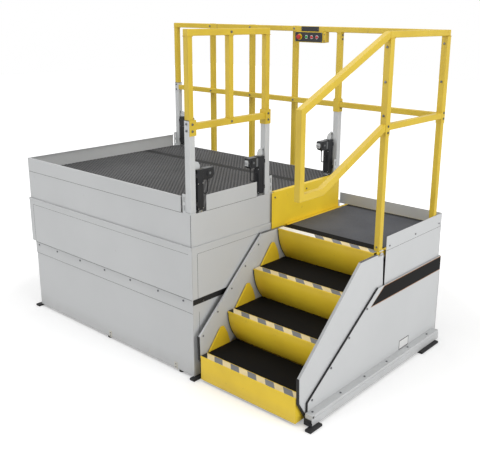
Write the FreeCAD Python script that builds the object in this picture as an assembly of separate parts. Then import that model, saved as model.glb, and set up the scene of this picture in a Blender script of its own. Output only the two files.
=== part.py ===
import FreeCAD, Part
import math
import os

# Adjustable operator platform with a folding stair. Millimetres, +Z up.
# X runs along the long closed side towards the stair, Y from that side to the rear.
# Sizes are first worked out from the deck's own corner, then moved so that the
# origin is the middle of the footprint on the floor.

# Main platform
deck_length = 1762.0
deck_width = 1528.0
deck_level = 1089.0
toe_height = 100.0
guard_height = 1067.0
sheet = 3.0
skirt_gap = 5.0
upper_skirt_drop = 244.0
mid_skirt_top = 885.0
mid_skirt_bottom = 546.0
lip_height = 14.0
lip_thickness = 2.0
base_panel_top = 552.0
band_bottom = 448.0
strip_bottom = 500.0
strip_length = 700.0
foot_height = 15.0
corner_gap = 0.3
grating_height = 30.0
seam_bar_low = 1090.0
seam_bar_high = 1160.0
toe_fold = 12.0
toe_corner_gap = 88.0
toe_side_start = 130.0
toe_side_end = 590.0

# Hidden structure of the main platform
floor_tube_width = 60.0
floor_tube_height = 40.0
tube_wall = 3.0
corner_post = 40.0
deck_tube_width = 40.0
deck_tube_height = 60.0
column_size = 60.0
column_inset = 230.0
column_top = 560.0
column_play = 0.3
column_insert = 90.0
slide_pad_width = 60.0
slide_pad_height = 30.0
running_gap = 0.3

# Guard rails
grey_post = 44.5
grey_wall = 3.0
grey_foot_gap = 11.0
grey_post_top = 1648.0
post_inset = 0.3
rail_tube = 38.0
rail_wall = 2.5
rail_insert = 100.0
mid_rail_top = 1628.0
stub_top = 1480.0
stub_play = 0.25
guide_height = 118.0
guide_thickness = 6.0
guide_reach = 27.0
guide_slot = 8.0
guide_tongue = 20.0
guide_slot_length = 34.0
clamp_thickness = 3.0
clamp_bottom = 1557.0
clamp_top = 1650.0
plate_margin = 10.0
guard_bay = 714.0
baluster_pitch = 444.0
baluster_count = 3
baluster_drop = 20.0
spacer = 6.0

# Lifting actuators of the guard
actuator_size = 50.0
actuator_bottom = 1104.0
actuator_top = 1350.0
actuator_gap = 12.0
motor_height = 66.0
motor_width = 44.0
motor_length = 92.0
motor_bevel = 18.0
rod_diameter = 20.0
rod_play = 0.3
rod_top = 1332.0
clevis_height = 11.0
lead_diameter = 7.0
lead_drop = 70.0

# Stair and landing
rise = 222.0
run = 247.0
step_count = 3
first_level = 182.0
first_nosing = 13.0
landing_overhang = 69.0
tread_width = 757.0
tread_gap = 7.0
step_clearance = 5.0
step_floor_gap = 16.0
riser_setback = 3.0
riser_below = 4.0
mat_thickness = 3.0
mat_edge = 6.0
mat_notch = 2.0
nosing_zone = 60.0
nosing_drop = 14.0
pin_back = 85.0
pin_drop = 40.0
pin_diameter = 20.0
pin_play = 0.3
lug_thickness = 8.0
lug_radius = 24.0
end_plate_front = 70.0
end_plate_back = 263.0
end_plate_height = 134.0

# Stringer wings
wing_thickness = 17.0
wing_gap = 5.0
wing_top = 818.0
wing_shoulder = 571.0
wing_rear = 838.0
wing_front = 17.0
wing_front_top = 305.0
wing_front_bottom = 150.0
wing_heel_depth = 97.0
wing_heel_level = 34.0
wing_rear_low = 560.0
trim_thickness = 9.0

# Side of the stair
side_panel_front = 85.0
side_panel_front_height = 132.0
side_panel_top = 617.0
side_panel_shoulder = 780.0
rail_reach = 48.0
rail_level = 78.0
rail_lip_bottom = 22.0
rail_front = 86.0
rail_rear_inset = 45.0
front_beam = 170.0
seal_width = 9.0
landing_panel_bottom = 590.0
landing_toe_seam = 836.0
landing_toe_top = 928.0
landing_toe_front = 868.0
landing_toe_reach = 32.0
landing_tube_height = 60.0
landing_column_top = 465.0
landing_column_insert = 75.0
landing_column_inset = 120.0
entry_riser_start = 724.0
entry_riser_gap = 15.0
entry_riser_bottom = 790.0
entry_riser_short = 25.0
entry_flange = 32.0

# Landing posts and stair handrail
landing_post_inset = 8.0
landing_post_front = 795.0
inner_post = 38.0
inner_post_top = 1980.0
sleeve_bottom = 1560.0
handrail_front = -10.0
handrail_front_top = 1790.0
handrail_bottom = 1316.0
handrail_flat = 196.0

# Control box under the rear rail
box_length = 255.0
box_inset = 162.0
box_height = 78.0
box_depth = 52.0
box_cap = 24.0
button_diameter = 22.0
button_reach = 10.0
stop_diameter = 34.0
stop_ring = 44.0

# Feet
foot_reach = 20.0
foot_width = 42.0
foot_length = 150.0
stair_foot_width = 42.0
stair_foot_reach = 30.0
stair_foot_front = 14.0
stair_foot_front_length = 112.0
stair_foot_rear_length = 236.0
stair_foot_rear_inset = 90.0

# Places worked out from the sizes above
landing_level = first_level + step_count * rise
landing_nosing = first_nosing + step_count * run
landing_rear = deck_width + landing_overhang
stair_rear = landing_rear + skirt_gap + sheet
rail_rear = stair_rear - rail_rear_inset
landing_column_y = (landing_nosing + landing_rear) / 2
rail_top = deck_level + guard_height
link_length = math.hypot(run, rise)
riser_radius = link_length - step_clearance
riser_centre = riser_radius + riser_setback
tread_overlap = riser_centre - run
seam_bar_middle = (seam_bar_low + seam_bar_high) / 2
wing_left_start = deck_length + entry_riser_gap + sheet + wing_gap
tread_left = wing_left_start + wing_thickness + tread_gap
tread_right = tread_left + tread_width
wing_right_start = tread_right + wing_gap
wing_right_end = wing_right_start + wing_thickness
landing_side = wing_right_end
landing_post_right = landing_side - landing_post_inset
box_right = deck_length - box_inset
box_left = box_right - box_length
side_panel_inner = landing_side + wing_gap + sheet
side_panel_outer = side_panel_inner + sheet
rail_outer = side_panel_outer + rail_reach
sleeve_lap = (grey_post - rail_tube) / 2
post_off = post_inset + sleeve_lap
rail_low = rail_top - rail_tube
mid_rail_low = mid_rail_top - rail_tube
base_face = skirt_gap + 2 * sheet
base_inner = base_face + sheet
deck_tube_low = deck_level - grating_height - deck_tube_height
deck_tube_high = deck_level - grating_height
x_low = -foot_reach
x_high = rail_outer + stair_foot_reach
y_low = -foot_reach
y_high = stair_rear
shift = FreeCAD.Vector(-(x_low + x_high) / 2, -(y_low + y_high) / 2, 0)


def block(x0, x1, y0, y1, z0, z1):
    return Part.makeBox(x1 - x0, y1 - y0, z1 - z0, FreeCAD.Vector(x0, y0, z0))


def fused(shapes):
    return shapes[0].multiFuse(shapes[1:]).removeSplitter() if len(shapes) > 1 else shapes[0]


def tube(axis, x0, x1, y0, y1, z0, z1, wall):
    """Square or rectangular tube, open along the named axis."""
    dx = 0 if axis == "x" else wall
    dy = 0 if axis == "y" else wall
    dz = 0 if axis == "z" else wall
    return block(x0, x1, y0, y1, z0, z1).cut(block(x0 + dx, x1 - dx, y0 + dy, y1 - dy, z0 + dz, z1 - dz))


def rod(axis, x, y, z, length, diameter):
    directions = {"x": (1, 0, 0), "y": (0, 1, 0), "z": (0, 0, 1)}
    return Part.makeCylinder(diameter / 2, length, FreeCAD.Vector(x, y, z), FreeCAD.Vector(*directions[axis]))


def side_plate(outline, x0, thickness):
    """Flat plate standing in the YZ plane, from its corner points."""
    points = [FreeCAD.Vector(x0, y, z) for y, z in outline]
    face = Part.Face(Part.makePolygon(points + points[:1]))
    return face.extrude(FreeCAD.Vector(thickness, 0, 0))


def save(name, shapes):
    solids = shapes if isinstance(shapes, list) else [shapes]
    shape = solids[0] if len(solids) == 1 else Part.makeCompound(solids)
    shape = shape.copy()
    shape.translate(shift)
    shape.exportStep(f"parts/{name}.step")
    print(name, len(shape.Solids), round(shape.Volume / 1e6, 2))


def pin_place(index):
    """Pivot of step 1, 2, 3 or, for 4, of the landing."""
    return (first_nosing + (index - 1) * run + pin_back, first_level + (index - 1) * rise - pin_drop)


def base_parts():
    far_x = deck_length - base_inner
    far_y = deck_width - base_inner
    near = base_inner
    z0 = foot_height
    z1 = foot_height + floor_tube_height
    w = floor_tube_width
    pieces = [
        tube("x", near, far_x, near, near + w, z0, z1, tube_wall),
        tube("x", near, far_x, far_y - w, far_y, z0, z1, tube_wall),
        tube("y", near, near + w, near + w, far_y - w, z0, z1, tube_wall),
        tube("y", far_x - w, far_x, near + w, far_y - w, z0, z1, tube_wall),
    ]
    half = column_size / 2
    for x in (column_inset, deck_length - column_inset):
        pieces.append(tube("y", x - w / 2, x + w / 2, near + w, far_y - w, z0, z1, tube_wall))
        for y in (column_inset, deck_width - column_inset):
            pieces.append(tube("z", x - half, x + half, y - half, y + half, z1, column_top, tube_wall))
    for x in (near, far_x - corner_post):
        for y in (near, far_y - corner_post):
            pieces.append(tube("z", x, x + corner_post, y, y + corner_post, z1, base_panel_top - sheet, tube_wall))
    save("base_frame", fused(pieces))

    f = base_face
    lx = deck_length
    ly = deck_width
    c = corner_gap
    save("base_panels", [
        block(f, lx - f, f, f + sheet, z0, base_panel_top),
        block(f, f + sheet, f + sheet + c, ly - f - sheet - c, z0, base_panel_top),
        block(lx - f - sheet, lx - f, f + sheet + c, ly - f - sheet - c, z0, base_panel_top),
        block(f, lx - f, ly - f - sheet, ly - f, z0, base_panel_top),
    ])
    save("base_front_band", block(f - sheet, lx - f + sheet, f - sheet, f, band_bottom, base_panel_top))
    save("base_side_strip", block(lx - f, lx - f + sheet, f + c, strip_length, strip_bottom, base_panel_top))

    feet = []
    for x in (-foot_reach, deck_length + foot_reach - foot_width):
        feet.append(block(x, x + foot_width, -foot_reach, foot_length - foot_reach, 0, foot_height))
        feet.append(block(x, x + foot_width, ly + foot_reach - foot_length, ly + foot_reach, 0, foot_height))
    rear_start = stair_rear - stair_foot_rear_inset - stair_foot_rear_length
    for y, length in ((stair_foot_front, stair_foot_front_length), (rear_start, stair_foot_rear_length)):
        feet.append(block(x_high - stair_foot_width, x_high, y, y + length, 0, foot_height))
    save("foot_plates", feet)


def stair_base_parts():
    z0 = foot_height
    z1 = foot_height + floor_tube_height
    start = deck_length - base_face
    w = floor_tube_width
    half = column_size / 2
    pieces = []
    for y in (front_beam, landing_column_y - w / 2, deck_width - base_face - w):
        pieces.append(tube("x", start, side_panel_inner, y, y + w, z0, z1, tube_wall))
    for x in (tread_left + landing_column_inset, tread_right - landing_column_inset):
        y = landing_column_y
        pieces.append(tube("z", x - half, x + half, y - half, y + half, z1, landing_column_top, tube_wall))
    pieces.append(tube("y", side_panel_outer, rail_outer - sheet, rail_front + sheet, rail_rear, z0, z1, tube_wall))
    save("stair_base_frame", pieces[:1] + [fused([pieces[1], pieces[3], pieces[4]])] + pieces[2:3] + pieces[5:])

    panel = [
        (side_panel_front, foot_height),
        (stair_rear, foot_height),
        (stair_rear, side_panel_top),
        (side_panel_shoulder, side_panel_top),
        (side_panel_front, side_panel_front_height),
    ]
    save("stair_side_panel", side_plate(panel, side_panel_inner, sheet))

    flange = block(side_panel_outer, rail_outer, rail_front, rail_rear, rail_level - sheet, rail_level)
    lip = block(rail_outer - sheet, rail_outer, rail_front, rail_rear, rail_lip_bottom, rail_level)
    nose = block(side_panel_outer, rail_outer, rail_front, rail_front + sheet, rail_lip_bottom, rail_level)
    save("stair_side_rail", fused([flange, lip, nose]))

    back_left = deck_length - landing_toe_reach - skirt_gap - 2 * sheet
    back = block(back_left, side_panel_inner, stair_rear - sheet, stair_rear, foot_height, side_panel_top)
    back_return = block(back_left, back_left + sheet, deck_width + 3 * skirt_gap,
                        stair_rear - sheet, foot_height, side_panel_top)
    save("stair_rear_panel", fused([back, back_return]))

    slope = math.atan2(side_panel_top - side_panel_front_height, side_panel_shoulder - side_panel_front)
    dy = seal_width * math.sin(slope)
    dz = seal_width * math.cos(slope)
    outer = [
        (side_panel_front - seal_width, foot_height + seal_width),
        (side_panel_front, foot_height + seal_width),
        (side_panel_front, side_panel_front_height),
        (side_panel_shoulder, side_panel_top),
        (side_panel_shoulder - dy, side_panel_top + dz),
        (side_panel_front - seal_width, side_panel_front_height + dz / 2),
    ]
    save("stair_edge_seal", side_plate(outer, side_panel_inner - 2.0, sheet + 4.0))


def mid_skirt_parts():
    g = skirt_gap
    t = sheet
    c = corner_gap
    lx = deck_length
    ly = deck_width
    z0 = mid_skirt_bottom
    z1 = mid_skirt_top
    lip = lip_thickness
    zl = z1 - lip_height
    front = fused([
        block(-g - t, lx + g + t, -g - t, -g, z0, z1),
        block(-g - t, lx + g + t, -g - t - lip, -g - t, zl, z1),
    ])
    rear = fused([
        block(-g - t, lx + g + t, ly + g, ly + g + t, z0, z1),
        block(-g - t, lx + g + t, ly + g + t, ly + g + t + lip, zl, z1),
    ])
    end = fused([
        block(-g - t, -g, -g + c, ly + g - c, z0, z1),
        block(-g - t - lip, -g - t, -g + c, ly + g - c, zl, z1),
    ])
    side = fused([
        block(lx + g, lx + g + t, -g + c, ly + g - c, z0, z1),
        block(lx + g + t, lx + g + t + lip, -g + c, ly + g - c, zl, z1),
    ])
    save("mid_skirts", [front, rear, end, side])

    depth = g - running_gap
    zp0 = z1 - slide_pad_height - 5.0
    zp1 = z1 - 5.0
    pads = []
    for x in (column_inset, lx - column_inset):
        pads.append(block(x - slide_pad_width / 2, x + slide_pad_width / 2, -g, -g + depth, zp0, zp1))
        pads.append(block(x - slide_pad_width / 2, x + slide_pad_width / 2, ly + g - depth, ly + g, zp0, zp1))
    for y in (column_inset, ly - column_inset):
        pads.append(block(-g, -g + depth, y - slide_pad_width / 2, y + slide_pad_width / 2, zp0, zp1))
        pads.append(block(lx + g - depth, lx + g, y - slide_pad_width / 2, y + slide_pad_width / 2, zp0, zp1))
    save("mid_slide_pads", pads)


def deck_parts():
    t = sheet
    lx = deck_length
    ly = deck_width
    w = deck_tube_width
    yc = seam_bar_middle
    z0 = deck_tube_low
    z1 = deck_tube_high
    pieces = [
        tube("x", t, lx - t, t, t + w, z0, z1, tube_wall),
        tube("x", t, lx - t, ly - t - w, ly - t, z0, z1, tube_wall),
        tube("y", t, t + w, t + w, ly - t - w, z0, z1, tube_wall),
        tube("y", lx - t - w, lx - t, t + w, ly - t - w, z0, z1, tube_wall),
        tube("x", t + w, lx - t - w, yc - w / 2, yc + w / 2, z0, z1, tube_wall),
    ]
    for x in (column_inset, lx - column_inset):
        pieces.append(tube("y", x - w / 2, x + w / 2, t + w, yc - w / 2, z0, z1, tube_wall))
        pieces.append(tube("y", x - w / 2, x + w / 2, yc + w / 2, ly - t - w, z0, z1, tube_wall))
    save("deck_frame", fused(pieces))

    inner = column_size / 2 - tube_wall - column_play
    columns = []
    for x in (column_inset, lx - column_inset):
        for y in (column_inset, ly - column_inset):
            columns.append(tube("z", x - inner, x + inner, y - inner, y + inner,
                                column_top - column_insert, z0, tube_wall))
    save("deck_columns", columns)

    gratings = []
    c = corner_gap
    for y0, y1 in ((t + c, seam_bar_low - c), (seam_bar_low, seam_bar_high), (seam_bar_high + c, ly - t - c)):
        plate = block(t + c, lx - t - c, y0, y1, deck_level - t, deck_level)
        rim = tube("z", t + c, lx - t - c, y0, y1, deck_tube_high, deck_level - t, t)
        gratings.append(fused([plate, rim]))
    save("deck_gratings", gratings)

    zs = deck_level - upper_skirt_drop
    save("upper_skirts", [
        block(0, lx, 0, t, zs, deck_level),
        block(0, lx, ly - t, ly, zs, deck_level),
        block(0, t, t + c, ly - t - c, zs, deck_level),
        block(lx - t, lx, t + c, ly - t - c, zs, deck_level),
    ])

    zt = deck_level + toe_height
    fold = toe_fold
    front_end = lx - toe_corner_gap
    end_end = ly - grey_post - guide_reach - fold
    save("toe_boards", [
        fused([block(0, front_end, 0, t, deck_level, zt), block(0, front_end, t, fold, zt - t, zt)]),
        fused([block(0, t, fold + c, end_end, deck_level, zt), block(t, fold, fold + c, end_end, zt - t, zt)]),
        block(lx - t, lx, toe_side_start, toe_side_end, deck_level, zt),
    ])

    x1 = lx + entry_riser_gap
    panel = block(x1, x1 + t, entry_riser_start, ly - entry_riser_short, entry_riser_bottom, deck_level + t)
    flange_end = ly - post_inset - grey_post - guide_reach - running_gap
    flange = block(x1 - entry_flange, x1, entry_riser_start + guide_reach, flange_end, deck_level, deck_level + t)
    save("entry_riser_panel", fused([panel, flange]))


def post_places():
    """Lower corner of each grey post, the sides of its actuator and guide, and the actuator's offset."""
    right = deck_length - post_inset - grey_post
    rear = deck_width - post_inset - grey_post
    return [
        (right, post_inset, "+y", "-x", 0),
        (right, guard_bay - grey_post, "-y", "+y", 0),
        (right, rear, "-y", "-y", -entry_flange),
        (post_inset, rear, "+x", "-y", 0),
    ]


def guide_pieces(x, y, guide):
    """Foot plate and slotted guide strip of one post."""
    g = running_gap
    d = guide_reach
    t = guide_thickness
    x1 = x + grey_post
    y1 = y + grey_post
    z0 = deck_level
    z1 = z0 + guide_height
    outer = x if x < deck_length / 2 else x1 - t
    if guide == "-x":
        strip = block(x - d, x - g, y, y + t, z0, z1)
        tongue = block(x - d, x, y, y + guide_tongue, z0, z0 + t)
        slot_x, slot_y, wide_x, wide_y = x - d / 2, y + t / 2, guide_slot / 2, t
    elif guide == "+y":
        strip = block(outer, outer + t, y1 + g, y1 + d, z0, z1)
        tongue = block(x1 - guide_tongue, x1, y1, y1 + d, z0, z0 + t)
        slot_x, slot_y, wide_x, wide_y = outer + t / 2, y1 + d / 2, t, guide_slot / 2
    else:
        strip = block(outer, outer + t, y - d, y - g, z0, z1)
        tongue_x = x if x < deck_length / 2 else x1 - guide_tongue
        tongue = block(tongue_x, tongue_x + guide_tongue, y - d, y, z0, z0 + t)
        slot_x, slot_y, wide_x, wide_y = outer + t / 2, y - d / 2, t, guide_slot / 2
    for z in (z0 + 16, z1 - 16 - guide_slot_length):
        strip = strip.cut(block(slot_x - wide_x, slot_x + wide_x, slot_y - wide_y, slot_y + wide_y,
                                z, z + guide_slot_length))
    return [block(x, x1, y, y1, z0, z0 + t), tongue, strip]


def guard_support_parts():
    guides = []
    rods = []
    margin = grey_wall + stub_play
    for x, y, side, guide, offset in post_places():
        base = deck_level
        stub = tube("z", x + margin, x + grey_post - margin, y + margin, y + grey_post - margin,
                    base, stub_top, grey_wall)
        guides.append(fused([stub] + guide_pieces(x, y, guide)))

        cx, cy = actuator_centre(x + offset, y, side)
        clevis = block(cx - 15, cx + 15, cy - 15, cy + 15, base, base + clevis_height)
        stem = rod("z", cx, cy, base + clevis_height, rod_top - base - clevis_height, rod_diameter)
        rods.append(fused([clevis, stem]))
    save("post_guides", guides)
    save("actuator_rods", rods)


def actuator_centre(x, y, side):
    reach = actuator_gap + actuator_size / 2
    half = grey_post / 2
    if side == "+y":
        return x + half, y + grey_post + reach
    if side == "-y":
        return x + half, y - reach
    return x + grey_post + reach, y + half


def guard_parts():
    posts = []
    for x, y, side, guide, offset in post_places():
        posts.append(tube("z", x, x + grey_post, y, y + grey_post,
                          deck_level + grey_foot_gap, grey_post_top, grey_wall))
    save("guard_posts", posts)

    m = sleeve_lap
    yellow_low = grey_post_top - rail_insert
    right = deck_length - post_off - rail_tube
    rear = deck_width - post_off - rail_tube
    left = post_off
    end = landing_post_right
    s = rail_tube
    v = rail_wall

    rear_frame = fused([
        tube("x", left, end, rear, rear + s, rail_low, rail_top, v),
        tube("z", left, left + s, rear, rear + s, yellow_low, rail_low, v),
        tube("z", right, right + s, rear, rear + s, yellow_low, rail_low, v),
        landing_sleeve(end, rear),
    ])
    save("rear_guard_frame", rear_frame)

    xp = deck_length - post_inset - grey_post
    yp = deck_width - post_inset - grey_post
    ct = clamp_thickness
    collar = clamp(xp, yp)
    save("rear_mid_rails", fused([
        collar,
        tube("x", post_inset + grey_post, xp - ct, rear, rear + s, mid_rail_low, mid_rail_top, v),
        tube("x", xp + grey_post + ct, end - s - m, rear, rear + s, mid_rail_low, mid_rail_top, v),
    ]))

    balusters = []
    by = deck_width + spacer + skirt_gap
    for index in range(baluster_count):
        x = right - (index + 1) * baluster_pitch
        upright = tube("z", x, x + s, by, by + s, deck_level - baluster_drop, rail_top, v)
        pads = [block(x + 4, x + s - 4, rear + s, by, z, z + 30) for z in (mid_rail_low + 4, rail_low + 4)]
        balusters.append(fused([upright] + pads))
    save("rear_balusters", balusters)

    front = post_off
    back = guard_bay - m
    middle = (front + back) / 2
    save("front_guard_frame", fused([
        tube("y", right, right + s, front, back, rail_low, rail_top, v),
        tube("z", right, right + s, front, front + s, yellow_low, rail_low, v),
        tube("z", right, right + s, back - s, back, yellow_low, rail_low, v),
        tube("z", right, right + s, middle - s / 2, middle + s / 2, mid_rail_top, rail_low, v),
    ]))
    y1 = post_inset + grey_post
    y2 = guard_bay - grey_post
    face = deck_length - post_inset
    plate = block(face, face + ct, post_inset, y1 + plate_margin, clamp_bottom, clamp_top)
    ear = block(right + s, face + ct, y1, y1 + plate_margin, clamp_bottom, clamp_top)
    rail = tube("y", right, right + s, y1, y2 - ct, mid_rail_low, mid_rail_top, v)
    save("front_mid_rail", fused([clamp(xp, y2), plate, ear, rail]))

    y6 = landing_post_front
    save("landing_guard_frame", fused([
        landing_sleeve(end, y6),
        tube("y", end - s, end, y6 - m, rear, rail_low, rail_top, v),
    ]))
    save("landing_mid_rail", tube("y", end - s, end, y6 + s + m, rear - m, mid_rail_low, mid_rail_top, v))
    save("stair_handrail", stair_handrail(y6 - m, end))

    control_parts(rear)
    actuator_parts()


def landing_sleeve(end, y):
    """Outer tube that slides over one of the landing's posts."""
    m = sleeve_lap
    s = rail_tube
    return tube("z", end - s - m, end + m, y - m, y + s + m, sleeve_bottom, rail_low, grey_wall)


def clamp(x, y):
    """Square collar round the top of a grey post."""
    g = grey_post
    t = clamp_thickness
    outer = block(x - t, x + g + t, y - t, y + g + t, clamp_bottom, clamp_top)
    return outer.cut(block(x, x + g, y, y + g, clamp_bottom, clamp_top))


def stair_handrail(y6, end):
    """Closed loop of tube that hangs from the landing's front post."""
    s = rail_tube
    slope = math.atan2(rail_top - handrail_front_top, y6 - handrail_front)
    drop = (y6 - handrail_flat) * math.tan(slope)
    upright = s / math.cos(slope)
    y0 = handrail_front
    knee = y0 + s
    top_inner = handrail_front_top - upright + s * math.tan(slope)
    outer = [
        (y6, rail_top),
        (y0, handrail_front_top),
        (y0, handrail_bottom),
        (handrail_flat, handrail_bottom),
        (y6, handrail_bottom + drop),
    ]
    inner = [
        (y6, handrail_bottom + drop + upright),
        (handrail_flat - s * math.tan(slope / 2), handrail_bottom + s),
        (knee, handrail_bottom + s),
        (knee, top_inner),
        (y6, rail_top - upright),
    ]
    return side_plate(outer + inner, end - s, s)


def control_parts(rear):
    face = rear - 4.0
    low = rail_low - box_height
    housing = block(box_left, box_right, face, face + box_depth, low, rail_low)
    cap = block(box_right, box_right + box_cap, face + 3, face + box_depth - 3, low + 3, rail_low)
    save("control_box", fused([housing, cap]))
    zc = (low + rail_low) / 2
    buttons = [rod("y", box_left + 46, face - 4, zc, 4, stop_ring)]
    buttons[0] = buttons[0].fuse(rod("y", box_left + 46, face - 22, zc, 18, stop_diameter))
    for index in range(3):
        x = box_left + 110 + index * 48
        buttons.append(rod("y", x, face - button_reach, zc, button_reach, button_diameter))
    save("control_buttons", buttons)


def actuator_parts():
    bodies = []
    leads = []
    h = actuator_size / 2
    bore = rod_diameter + 2 * rod_play
    for x, y, side, guide, offset in post_places():
        cx, cy = actuator_centre(x + offset, y, side)
        body = block(cx - h, cx + h, cy - h, cy + h, actuator_bottom, actuator_top)
        body = body.cut(rod("z", cx, cy, actuator_bottom, rod_top + 4 - actuator_bottom, bore))
        zm = actuator_top - motor_height
        pieces = [body, motor_head(cx, cy, side)]
        for z in (actuator_bottom + 30, actuator_top - 44):
            if side == "+y":
                pieces.append(block(cx - h, cx + h, y + grey_post, cy - h, z, z + 24))
            elif side == "-y":
                pieces.append(block(cx - h, cx + h, cy + h, y, z, z + 24))
            else:
                pieces.append(block(x + grey_post, cx - h, cy - h, cy + h, z, z + 24))
        bodies.append(fused(pieces))
        leads.append(actuator_lead(cx, cy, side, zm))
    save("actuators", bodies)
    save("actuator_leads", leads)


def motor_head(cx, cy, side):
    """Gear and motor housing that stands out from the top of the actuator."""
    h = actuator_size / 2
    w = motor_width / 2
    top = actuator_top
    low = top - motor_height
    reach = h + motor_length
    outline = [(h, low), (reach - motor_bevel, low), (reach, low + motor_bevel), (reach, top), (h, top)]
    sign = -1 if side == "-y" else 1
    if side == "+x":
        points = [FreeCAD.Vector(cx + along, cy - w, z) for along, z in outline]
        sweep = FreeCAD.Vector(0, 2 * w, 0)
    else:
        points = [FreeCAD.Vector(cx - w, cy + sign * along, z) for along, z in outline]
        sweep = FreeCAD.Vector(2 * w, 0, 0)
    return Part.Face(Part.makePolygon(points + points[:1])).extrude(sweep)


def actuator_lead(cx, cy, side, zm):
    """Half loop of cable from the motor's underside back to the actuator's side."""
    sign = {"+y": 1, "-y": -1, "+x": 1}[side]
    h = actuator_size / 2
    z_top = zm
    reach = motor_length * 0.62
    z_turn = z_top - lead_drop

    def at(along, z):
        if side == "+x":
            return FreeCAD.Vector(cx + h + along, cy, z)
        return FreeCAD.Vector(cx, cy + sign * (h + along), z)

    first = Part.LineSegment(at(reach, z_top), at(reach, z_turn)).toShape()
    corner = 12.0
    gap = lead_diameter / 2 + 0.5
    span = reach - gap - corner
    half = span / 2
    low = Part.Arc(at(reach, z_turn), at(reach - half, z_turn - half), at(reach - span, z_turn)).toShape()
    turn = at(corner + gap, z_turn)
    rise_line = Part.LineSegment(turn, at(corner + gap, z_turn + 10)).toShape()
    c45 = corner * (1 - math.cos(math.pi / 4))
    s45 = corner * math.sin(math.pi / 4)
    quarter = Part.Arc(at(corner + gap, z_turn + 10), at(gap + corner - c45, z_turn + 10 + s45),
                       at(gap, z_turn + 10 + corner)).toShape()
    last = Part.LineSegment(at(gap, z_turn + 10 + corner), at(0, z_turn + 10 + corner)).toShape()
    wire = Part.Wire([first, low, rise_line, quarter, last])
    circle = Part.Circle(at(reach, z_top), FreeCAD.Vector(0, 0, 1), lead_diameter / 2)
    profile = Part.Wire(circle.toShape())
    return wire.makePipeShell([profile], True, False)


def curved_riser(nosing, level, x0, x1):
    """Riser sheet rolled to the arc that the rear edge of the step below moves on."""
    r = riser_radius
    inner = r - sheet
    cy = nosing + riser_centre

    def on_arc(radius, angle):
        return FreeCAD.Vector(x0, cy - radius * math.cos(angle), level - radius * math.sin(angle))

    def arc(radius, first, last):
        middle = on_arc(radius, (first + last) / 2)
        return Part.Arc(on_arc(radius, first), middle, on_arc(radius, last)).toShape()

    start = math.asin(sheet / r)
    start_in = math.asin(sheet / inner)
    end = math.asin((rise + riser_below) / r)
    edges = [
        arc(r, start, end),
        Part.LineSegment(on_arc(r, end), on_arc(inner, end)).toShape(),
        arc(inner, end, start_in),
        Part.LineSegment(on_arc(inner, start_in), on_arc(r, start)).toShape(),
    ]
    return Part.Face(Part.Wire(edges)).extrude(FreeCAD.Vector(x1 - x0, 0, 0))


def lug(x0, pin, level):
    """Plate below a tread, with the pivot's bore."""
    y, z = pin
    arm = block(x0, x0 + lug_thickness, y - lug_radius, y + lug_radius, z, level - sheet)
    eye = rod("x", x0, y, z, lug_thickness, 2 * lug_radius)
    bore = rod("x", x0 - 1, y, z, lug_thickness + 2, pin_diameter + 2 * pin_play)
    return arm.fuse(eye).cut(bore)


def end_plate(nosing, level, x0):
    """Upstand at the end of a tread that closes the gap beside the step above."""
    y0 = nosing + end_plate_front
    y1 = nosing + end_plate_back
    outline = [
        (y0, level - sheet),
        (y1, level - sheet),
        (y1, level + 20),
        (nosing + 243, level + 78),
        (nosing + 210, level + end_plate_height),
        (nosing + 186, level + end_plate_height + 5),
        (nosing + 168, level + end_plate_height - 8),
        (y0, level + 6),
    ]
    return side_plate(outline, x0, sheet)


def step_parts():
    for index in range(1, step_count + 1):
        nosing = first_nosing + (index - 1) * run
        level = first_level + (index - 1) * rise
        rear = nosing + run + tread_overlap
        top = block(tread_left, tread_right, nosing, rear, level - mat_thickness - sheet, level - mat_thickness)
        lip = block(tread_left, tread_right, nosing, nosing + riser_setback, level - nosing_drop, level - mat_thickness)
        pieces = [top, lip]
        if index == 1:
            pieces.append(block(tread_left, tread_right, nosing + riser_setback, nosing + riser_setback + sheet,
                                step_floor_gap, level - mat_thickness - sheet))
            for x in (tread_left, tread_right - sheet):
                pieces.append(side_plate([(nosing + riser_setback, step_floor_gap), (nosing + 60, step_floor_gap + 60),
                                          (nosing + 110, level - 6), (nosing + riser_setback, level - 6)], x, sheet))
        else:
            pieces.append(curved_riser(nosing, level - mat_thickness, tread_left, tread_right))
        for x in (tread_left, tread_right - sheet):
            pieces.append(end_plate(nosing, level - mat_thickness, x))
        for x in (tread_left + sheet, tread_right - sheet - lug_thickness):
            pieces.append(lug(x, pin_place(index), level - mat_thickness))
        y, z = pin_place(index)
        bore = rod("x", tread_left - 1, y, z, tread_width + 2, pin_diameter + 2 * pin_play)
        save(f"step_{index}", fused(pieces).cut(bore))
        mat = block(tread_left + mat_edge, tread_right - mat_edge, nosing + nosing_zone, rear - mat_edge,
                    level - mat_thickness, level)
        save(f"step_{index}_mat", mat)


def wing_outline():
    return [
        (wing_front, wing_front_top),
        (wing_shoulder, wing_top),
        (wing_rear, wing_top),
        (wing_rear + 11, wing_rear_low + 70),
        (wing_rear + 11, wing_rear_low),
        (wing_heel_depth, wing_heel_level),
        (wing_front + 5, wing_front_bottom),
    ]


def wing(x0, inner_face):
    plate = side_plate(wing_outline(), x0, wing_thickness)
    y, z = pin_place(step_count + 1)
    arm = block(inner_face, inner_face + sheet, wing_rear - 60, y, z - 22, wing_top)
    eye = rod("x", inner_face, y, z, sheet, 44)
    body = fused([plate, arm, eye])
    for index in range(1, step_count + 2):
        y, z = pin_place(index)
        body = body.cut(rod("x", x0 - 1, y, z, wing_thickness + 2, pin_diameter))
    return body


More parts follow.
